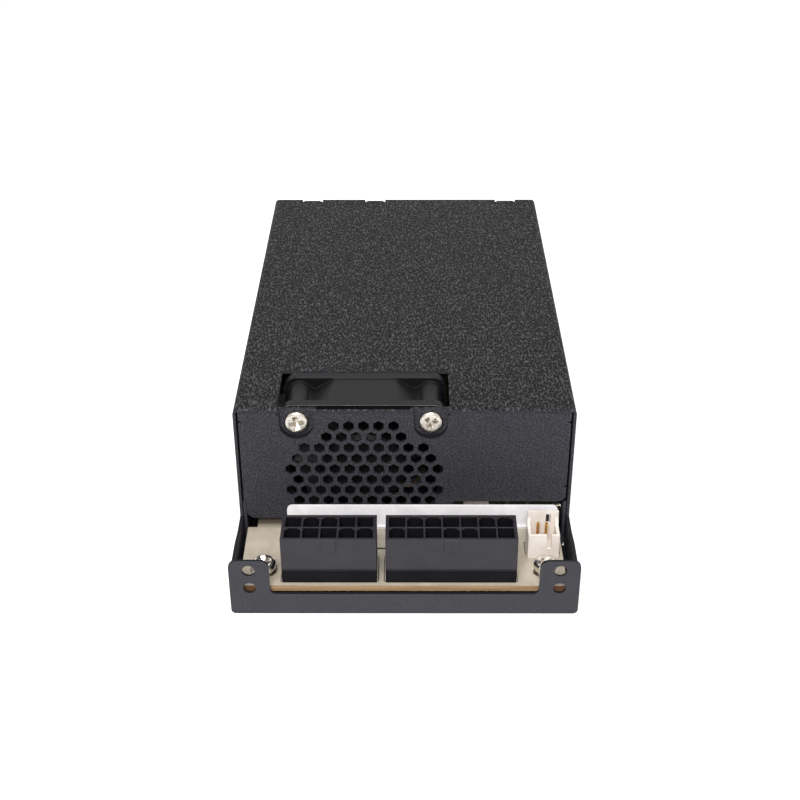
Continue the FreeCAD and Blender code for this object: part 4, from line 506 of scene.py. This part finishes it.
def screw_tree(name, domed):
    """Cross-recessed screw: a domed or countersunk head on a shank with a helical thread."""
    tree, sizes = tree_with(name, SCREW_SIZES)
    radius, tall, length = sizes["Head radius"], sizes["Head height"], sizes["Length"]
    place = add(tree, "GeometryNodeInputPosition")
    x, y, z = add(tree, *AXES, [place]).outputs

    if domed:
        disc = add(tree, "GeometryNodeMeshCylinder", {"fill_type": "NGON"}, {
            "Vertices": 40, "Side Segments": 1, "Fill Segments": 14, "Radius": radius, "Depth": tall,
        })
        out = add(tree, *LENGTH, [add(tree, *VECTOR, [x, y, 0.0])]).outputs["Value"]
        slope = add(tree, *POWER, [add(tree, *OVER, [out, radius]), sizes["Crown power"]])
        fall = add(tree, *TIMES, [sizes["Crown drop"], slope])
        level = add(tree, *PLUS, [z, add(tree, *OVER, [tall, 2.0])])
        crowned = add(tree, *TIMES, [level, add(tree, *MINUS, [1.0, fall])])
        head = add(tree, *RESHAPE, {"Geometry": disc, "Position": add(tree, *VECTOR, [x, y, crowned])})
        face, shank_top = tall, 0.0
    else:
        cone = add(tree, "GeometryNodeMeshCone", {"fill_type": "NGON"}, {
            "Vertices": 40, "Side Segments": 1, "Fill Segments": 1,
            "Radius Top": sizes["Shank radius"], "Radius Bottom": radius, "Depth": tall,
        })
        head = add(tree, *MOVE, {"Geometry": cone, "Rotation": (math.pi, 0.0, 0.0)})
        face, shank_top = 0.0, add(tree, *TIMES, [tall, -1.0])

    # The recess: two crossed blades that narrow towards their tip
    deep, wide, reach = sizes["Recess depth"], sizes["Recess width"], sizes["Recess reach"]
    taper = add(tree, *RANGE, {
        "Value": z, "From Min": add(tree, *TIMES, [deep, -1.0]), "From Max": 0.0,
        "To Min": 0.3, "To Max": 1.0,
    })
    narrowed = add(tree, *VECTOR, [add(tree, *TIMES, [x, taper]), add(tree, *TIMES, [y, taper]), z])
    blades = []
    for across, along in ((reach, wide), (wide, reach)):
        block = add(tree, "GeometryNodeMeshCube", None, {
            "Size": add(tree, *VECTOR, [across, along, add(tree, *TIMES, [deep, 2.0])]),
            "Vertices Z": 3,
        })
        blade = add(tree, *RESHAPE, {"Geometry": block, "Position": narrowed})
        lift = add(tree, *VECTOR, [0.0, 0.0, face])
        blades.append(add(tree, *MOVE, {"Geometry": blade, "Translation": lift}))
    recessed = add(tree, "GeometryNodeMeshBoolean", {"operation": "DIFFERENCE", "solver": "EXACT"}, {
        "Mesh 1": head, "Mesh 2": blades,
    })

    # The thread: a rod whose wall rises and falls once per pitch and turn
    root, rise = 0.84, 0.16
    rod = add(tree, "GeometryNodeMeshCylinder", {"fill_type": "NGON"}, {
        "Vertices": 18, "Side Segments": 60, "Fill Segments": 1,
        "Radius": sizes["Shank radius"], "Depth": length,
    })
    turn = add(tree, *OVER, [add(tree, "ShaderNodeMath", {"operation": "ARCTAN2"}, [y, x]), math.tau])
    climb = add(tree, *MINUS, [add(tree, *OVER, [z, sizes["Pitch"]]), turn])
    phase = add(tree, *TIMES, [add(tree, "ShaderNodeMath", {"operation": "FRACT"}, [climb]), 2.0])
    crest = add(tree, *SIZE_OF, [add(tree, *MINUS, [phase, 1.0])])
    swell = add(tree, *PLUS, [root, add(tree, *TIMES, [rise, crest])])
    ridged = add(tree, *VECTOR, [add(tree, *TIMES, [x, swell]), add(tree, *TIMES, [y, swell]), z])
    thread = add(tree, *RESHAPE, {"Geometry": rod, "Position": ridged})
    # It starts a little way up inside the head
    overlap = 0.05 * MM
    middle = add(tree, *MINUS, [shank_top, add(tree, *OVER, [length, 2.0])])
    lower = add(tree, *VECTOR, [0.0, 0.0, add(tree, *PLUS, [middle, overlap])])
    shank = add(tree, *MOVE, {"Geometry": thread, "Translation": lower})
    whole = add(tree, "GeometryNodeJoinGeometry", None, {"Geometry": [recessed, shank]})
    end_tree(tree, sizes, whole)
    return tree


PAN_HEAD, PAN_TALL, LOW_TALL = 2.85 * MM, 1.9 * MM, 1.3 * MM
FLAT_HEAD, FLAT_DEEP = 2.7 * MM, 1.3 * MM
FINE_PITCH, FAN_PITCH = 0.5 * MM, 1.2 * MM
PAN_CROSS = {"Recess width": 1.2 * MM, "Recess reach": 3.7 * MM, "Recess depth": 1.15 * MM}
FLAT_CROSS = {"Recess width": 0.8 * MM, "Recess reach": 2.9 * MM, "Recess depth": 0.9 * MM}
LEFT, RIGHT, FRONT, BACK, UP = (-1, 0, 0), (1, 0, 0), (0, -1, 0), (0, 1, 0), (0, 0, 1)
# Where each screw happened to stop turning, in radians
TWISTS = (0.2, 0.6, 1.1, 0.4)


def screw_set(name, node, tree, spots, facings, finish, face, values):
    """Screws in place of their CAD node, with rougher plating on the walls of each cross recess, darkened
    as painted shade.
    """
    mesh = grow_mesh(name, tree, spots, facings, finish, values, TWISTS)
    mesh.materials.append(recess_zinc_shade)
    skin = 0.04 * MM
    bottom, top = face - values["Recess depth"] - skin, face - skin
    reach = values["Recess reach"] / 2 + skin
    for polygon in mesh.polygons:
        spot, facing = min(
            zip(spots, facings), key=lambda pair: (polygon.center - Vector(pair[0])).length)
        away = polygon.center - Vector(spot)
        level = away.dot(Vector(facing))
        out = (away - level * Vector(facing)).length
        if bottom < level < top and out < reach:
            polygon.material_index = 1
    settle(name, mesh, [node])


def add_screws():
    """Screws of the board, the fan, the cover and the mains inlet."""
    domed, flat = screw_tree("domed_screws", True), screw_tree("countersunk_screws", False)

    low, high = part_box("board_screws")
    seat = high.z - PAN_TALL
    rows = (low.y + PAN_HEAD, high.y - PAN_HEAD)
    spots = [(x, y, seat) for x in (low.x + PAN_HEAD, high.x - PAN_HEAD) for y in rows]
    screw_set("board_screw_set", "board_screws", domed, spots, [UP] * 4, bright_zinc, PAN_TALL, {
        "Head radius": PAN_HEAD, "Head height": PAN_TALL, "Crown drop": 0.35, "Crown power": 7.0,
        "Shank radius": 1.45 * MM, "Length": seat - low.z, "Pitch": FINE_PITCH, **PAN_CROSS,
    })

    low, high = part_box("fan_screws")
    seat, middle = low.y + LOW_TALL, (low.z + high.z) / 2
    spots = [(x, seat, middle) for x in (low.x + PAN_HEAD, high.x - PAN_HEAD)]
    screw_set("fan_screw_set", "fan_screws", domed, spots, [FRONT] * 2, zinc, LOW_TALL, {
        "Head radius": PAN_HEAD, "Head height": LOW_TALL, "Crown drop": 0.35, "Crown power": 14.0,
        "Shank radius": 2.0 * MM, "Length": high.y - low.y - LOW_TALL, "Pitch": FAN_PITCH, **PAN_CROSS,
    })

    flat_sizes = {
        "Head radius": FLAT_HEAD, "Head height": FLAT_DEEP, "Shank radius": 1.4 * MM,
        "Length": 2.7 * MM, "Pitch": FINE_PITCH, **FLAT_CROSS,
    }
    low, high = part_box("cover_screws")
    rows = [(high.y - FLAT_HEAD, high.z - FLAT_HEAD), (low.y + FLAT_HEAD, low.z + FLAT_HEAD)]
    spots = [(x, y, z) for x in (low.x, high.x) for y, z in rows]
    facings = [LEFT] * 2 + [RIGHT] * 2
    screw_set("cover_screw_set", "cover_screws", flat, spots, facings, zinc, 0.0, flat_sizes)

    low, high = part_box("ac_inlet_screws")
    middle = (low.z + high.z) / 2
    spots = [(x, high.y, middle) for x in (low.x + FLAT_HEAD, high.x - FLAT_HEAD)]
    screw_set("inlet_screw_set", "ac_inlet_screws", flat, spots, [BACK] * 2, zinc, 0.0, flat_sizes)


add_screws()


WIRE_SIZES = ["Ring radius", "Half thickness", "Half width", "Turns", "Start", "Span", "Wire radius"]


def winding_tree():
    """One wire wound round part of a ring core, as a helix that follows the core's squared section."""
    tree, sizes = tree_with("wire_turns", WIRE_SIZES)
    squareness = 0.25
    line = add(tree, "GeometryNodeCurvePrimitiveLine")
    points = add(tree, "GeometryNodeResampleCurve", None, {"Curve": line, "Count": 900})
    share = add(tree, "GeometryNodeSplineParameter").outputs["Factor"]
    around = add(tree, *PLUS, [sizes["Start"], add(tree, *TIMES, [share, sizes["Span"]])])
    wrap = add(tree, *TIMES, [share, add(tree, *TIMES, [sizes["Turns"], math.tau])])
    squared = []
    for wave, half in (("COSINE", sizes["Half thickness"]), ("SINE", sizes["Half width"])):
        swing = add(tree, "ShaderNodeMath", {"operation": wave}, [wrap])
        side = add(tree, "ShaderNodeMath", {"operation": "SIGN"}, [swing])
        square = add(tree, *TIMES, [side, add(tree, *POWER, [add(tree, *SIZE_OF, [swing]), squareness])])
        squared.append(add(tree, *TIMES, [square, half]))
    out = add(tree, *PLUS, [sizes["Ring radius"], squared[0]])
    across, along = [
        add(tree, *TIMES, [out, add(tree, "ShaderNodeMath", {"operation": wave}, [around])])
        for wave in ("COSINE", "SINE")
    ]
    place = add(tree, *VECTOR, [across, along, squared[1]])
    path = add(tree, *RESHAPE, {"Geometry": points, "Position": place})
    section = add(tree, "GeometryNodeCurvePrimitiveCircle", None, {
        "Resolution": 7, "Radius": sizes["Wire radius"],
    })
    wire = add(tree, "GeometryNodeCurveToMesh", None, {
        "Curve": path, "Profile Curve": section, "Fill Caps": True,
    })
    end_tree(tree, sizes, wire)
    return tree


WIRE, WIRE_GAP = 0.55 * MM, 0.05 * MM
# Choke, axis, core radius, core hole and core width in mm, turns,
# and each winding's start and span in degrees
CHOKES = [
    ("pfc_choke", (0, 0, 1), 9.4, 5.0, 9.5, 24, [(0, 300)]),
    ("output_choke", (0, 0, 1), 8.6, 4.6, 9.0, 22, [(0, 300)]),
    ("line_choke", (1, 0, 0), 9.6, 5.2, 9.0, 12, [(22, 136), (202, 136)]),
]


def add_windings():
    """Single turns of wire on the three chokes; the upright one also stands on four straight ends."""
    tree = winding_tree()
    for name, axis, radius, hole, width, turns, parts in CHOKES:
        low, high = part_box(name + "_core")
        centre = (low + high) / 2
        joined = bmesh.new()
        for start, span in parts:
            joined.from_mesh(grow_mesh(name + "_wire", tree, [centre], [axis], copper, {
                "Ring radius": (radius + hole) / 2 * MM,
                "Half thickness": (radius - hole) / 2 * MM + WIRE + WIRE_GAP,
                "Half width": width / 2 * MM + WIRE + WIRE_GAP,
                "Turns": turns, "Start": math.radians(start), "Span": math.radians(span),
                "Wire radius": WIRE,
            }))
        upright = len(parts) > 1
        node = name + ("_windings" if upright else "_winding")
        if upright:
            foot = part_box(node)[0].z
            tall = low.z - foot
            out, apart = hole * 0.75 * MM, width / 3 * MM
            for y in (centre.y - out, centre.y + out):
                for x in (centre.x - apart, centre.x + apart):
                    bmesh.ops.create_cone(
                        joined, cap_ends=True, segments=10, radius1=WIRE, radius2=WIRE, depth=tall,
                        matrix=Matrix.Translation((x, y, foot + tall / 2)))
        mesh = bpy.data.meshes.new(node + "_wire")
        joined.to_mesh(mesh)
        joined.free()
        mesh.materials.append(copper)
        for face in mesh.polygons:
            face.use_smooth = True
        settle(node + "_wire", mesh, [node])


add_windings()


HEADER_FINISHES = (header_satin, header_foot_shade, header_cavity_shade, header_shade)
SATIN, FOOT_SHADE, CAVITY_SHADE, SHADE = range(4)


def add_header(node):
    """Output header with softened edges, and painted shade on its foot and on the matt insides of its
    cavities.
    """
    low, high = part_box(node)
    foot_top, fade, rim = high.z - 9.25 * MM, 0.7 * MM, 0.35 * MM
    front_wall = 3 * rim
    work = bmesh.new()
    work.from_mesh(nodes[node].data)
    bmesh.ops.remove_doubles(work, verts=work.verts, dist=WELD)
    bmesh.ops.dissolve_limit(work, angle_limit=math.radians(1), verts=work.verts, edges=work.edges)
    sharp = [edge for edge in work.edges
             if edge.is_manifold and edge.calc_face_angle() > math.radians(40)]
    bmesh.ops.bevel(work, geom=sharp, offset=0.09 * MM, segments=2, profile=0.5, affect="EDGES",
                    clamp_overlap=True)
    bmesh.ops.bisect_plane(work, geom=[*work.verts, *work.edges, *work.faces], dist=WELD,
                           plane_co=(0, 0, foot_top + fade), plane_no=(0, 0, 1))
    for face in work.faces:
        spot = face.calc_center_median()
        inside = (low.x + rim < spot.x < high.x - rim
                  and low.y + front_wall < spot.y < high.y - rim and spot.z < high.z - rim)
        # Cavity insides and the foot get painted shade; a band just above the foot gets part of it
        if inside and (abs(face.normal.z) < 0.5 or spot.z > foot_top):
            face.material_index = CAVITY_SHADE
        elif spot.z < foot_top:
            face.material_index = FOOT_SHADE
        else:
            face.material_index = SHADE if spot.z < foot_top + fade else SATIN
        face.smooth = False
    mesh = bpy.data.meshes.new(node + "_housing")
    work.to_mesh(mesh)
    work.free()
    for finish in HEADER_FINISHES:
        mesh.materials.append(finish)
    settle(node + "_housing", mesh, [node])


add_header("output_header_10")
add_header("output_header_14")


def soften(node, width, edge_finish=None):
    """Small rounded edges on a CAD node, in a finish of their own where one is given, which holds painted
    highlight.
    """
    weld = nodes[node].modifiers.new("weld", "WELD")
    weld.merge_threshold = WELD
    edge = nodes[node].modifiers.new("edge", "BEVEL")
    edge.width = width
    edge.segments = 2
    edge.limit_method = "ANGLE"
    edge.angle_limit = math.radians(35)
    if edge_finish:
        nodes[node].data.materials.append(edge_finish)
        edge.material = 1


soften("top_cover", 0.16 * MM, edge_coat_and_highlight)
soften("base_tray", 0.16 * MM, edge_coat_and_highlight)
soften("fan_frame", 0.3 * MM, painted_edge_highlight)
soften("sense_header", 0.1 * MM)
soften("air_baffle", 0.1 * MM)


def printed_frame(work, low, high, level):
    """Closed thin frame of ink round a footprint."""
    wide, thick = 0.2 * MM, 0.03 * MM
    rings = []
    for inset, height in ((0, level), (0, level + thick), (wide, level + thick), (wide, level)):
        corners = ((low.x + inset, low.y + inset), (high.x - inset, low.y + inset),
                   (high.x - inset, high.y - inset), (low.x + inset, high.y - inset))
        rings.append([work.verts.new((x, y, height)) for x, y in corners])
    for ring, onward in zip(rings, rings[1:] + rings[:1]):
        for i in range(4):
            work.faces.new((ring[i], ring[(i + 1) % 4], onward[(i + 1) % 4], onward[i]))


def add_legend():
    """Lines printed on the board round the headers' feet, and a dark strip across the board behind two of
    them.
    """
    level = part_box("main_board")[1].z
    work = bmesh.new()
    # In front the outlines run under the headers
    margin, tucked = Vector((0.45 * MM, 0.45 * MM, 0)), Vector((0, 2 * MM, 0))
    for node in ("output_header_10", "output_header_14", "sense_header"):
        low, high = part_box(node)
        printed_frame(work, low - margin + tucked, high + margin, level)
    # A dark strip across the board, behind the headers and seen between them
    strip_y, strip_wide, strip_thick, overhang = -59.4 * MM, 0.6 * MM, 0.04 * MM, 1 * MM
    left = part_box("output_header_10")[0].x - overhang
    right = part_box("output_header_14")[1].x + overhang
    middle = Vector(((left + right) / 2, strip_y, level + strip_thick / 2))
    size = Matrix.Diagonal((right - left, strip_wide, strip_thick, 1))
    bmesh.ops.create_cube(work, size=1, matrix=Matrix.Translation(middle) @ size)
    bmesh.ops.recalc_face_normals(work, faces=work.faces)
    mesh = bpy.data.meshes.new("board_legend")
    work.to_mesh(mesh)
    work.free()
    mesh.materials.append(legend_ink)
    settle("board_legend", mesh, [])


add_legend()


# Camera and studio

def photo_camera():
    """Camera at the photograph's angle."""
    place = Vector((0.481, -318.069, 209.338)) * MM
    pitch, yaw, roll = math.radians(31.718), math.radians(-0.327), math.radians(-0.165)
    ahead = Vector((math.sin(yaw) * math.cos(pitch), math.cos(yaw) * math.cos(pitch), -math.sin(pitch)))
    level = Vector((math.cos(yaw), -math.sin(yaw), 0))
    upward = level.cross(ahead)
    right = level * math.cos(roll) + upward * math.sin(roll)
    up = upward * math.cos(roll) - level * math.sin(roll)
    camera = bpy.data.objects.new("photo_camera", bpy.data.cameras.new("photo_camera"))
    camera.data.sensor_width = 36
    camera.data.lens = 60.51
    camera.data.clip_start = 0.01
    turned = Matrix((right, up, -ahead)).transposed().to_4x4()
    camera.matrix_world = Matrix.Translation(place) @ turned
    bpy.context.collection.objects.link(camera)
    bpy.context.scene.camera = camera


def soft_lamp(name, place, target, size, watts):
    """Round soft lamp that faces a point."""
    lamp = bpy.data.objects.new(name, bpy.data.lights.new(name, "AREA"))
    lamp.data.shape = "DISK"
    lamp.data.size = size
    lamp.data.energy = watts
    lamp.location = place
    lamp.rotation_euler = (Vector(target) - Vector(place)).to_track_quat("-Z", "Y").to_euler()
    bpy.context.collection.objects.link(lamp)


def seen_ray(tree):
    """1 for rays that show the surround straight, in gloss or through a film, 0 for its light."""
    path = add(tree, "ShaderNodeLightPath").outputs
    shown = add(tree, *LARGER, [path["Is Camera Ray"], path["Is Glossy Ray"]])
    return add(tree, *LARGER, [shown, path["Is Transmission Ray"]])


def studio_floor():
    """White paper sweep: bright to the eye, with soft shadows near the object."""
    half, level = 4.0, -0.2 * MM
    corners = [(-half, -half, level), (half, -half, level), (half, half, level), (-half, half, level)]
    mesh = bpy.data.meshes.new("studio_floor")
    mesh.from_pydata(corners, [], [(0, 1, 2, 3)])
    floor = bpy.data.objects.new("studio_floor", mesh)
    bpy.context.collection.objects.link(floor)
    material = bpy.data.materials.new("white_sweep")
    material.use_nodes = True
    tree = material.node_tree
    tree.nodes.clear()
    paper = add(tree, "ShaderNodeBsdfDiffuse", None, {"Color": linear("f4f4f4")})
    glow = add(tree, "ShaderNodeEmission", None, {"Color": WHITE, "Strength": 0.45})
    both = add(tree, "ShaderNodeAddShader", None, [paper, glow])
    # Far from the object the sweep runs out into the white surround
    place = add(tree, "ShaderNodeTexCoord").outputs["Object"]
    far = add(tree, *LENGTH, [place]).outputs["Value"]
    fade = add(tree, *RANGE, {"Value": far, "From Min": 0.25, "From Max": 0.7})
    white = add(tree, "ShaderNodeEmission", None, {"Color": WHITE, "Strength": 1.0})
    sweep = add(tree, "ShaderNodeMixShader", None, [fade, both, white])
    mixed = add(tree, "ShaderNodeMixShader", None, [seen_ray(tree), paper, sweep])
    add(tree, "ShaderNodeOutputMaterial", None, {"Surface": mixed})
    mesh.materials.append(material)


def studio_surround():
    """White surround that lights the object less than it shows."""
    world = bpy.data.worlds.new("white_surround")
    bpy.context.scene.world = world
    world.use_nodes = True
    tree = world.node_tree
    tree.nodes.clear()
    light = add(tree, "ShaderNodeBackground", None, {"Color": WHITE, "Strength": 0.18})
    seen = add(tree, "ShaderNodeBackground", None, {"Color": WHITE, "Strength": 1.0})
    mixed = add(tree, "ShaderNodeMixShader", None, [seen_ray(tree), light, seen])
    add(tree, "ShaderNodeOutputWorld", None, {"Surface": mixed})


photo_camera()
studio_floor()
studio_surround()
soft_lamp("key_softbox", place=(-0.1, -0.8, 0.75), target=(0, -0.02, 0.02), size=0.55, watts=13.0)
soft_lamp("overhead_softbox", place=(0.1, -0.1, 0.9), target=(0, 0, 0), size=0.6, watts=3.0)
bpy.context.scene.view_settings.view_transform = "Standard"
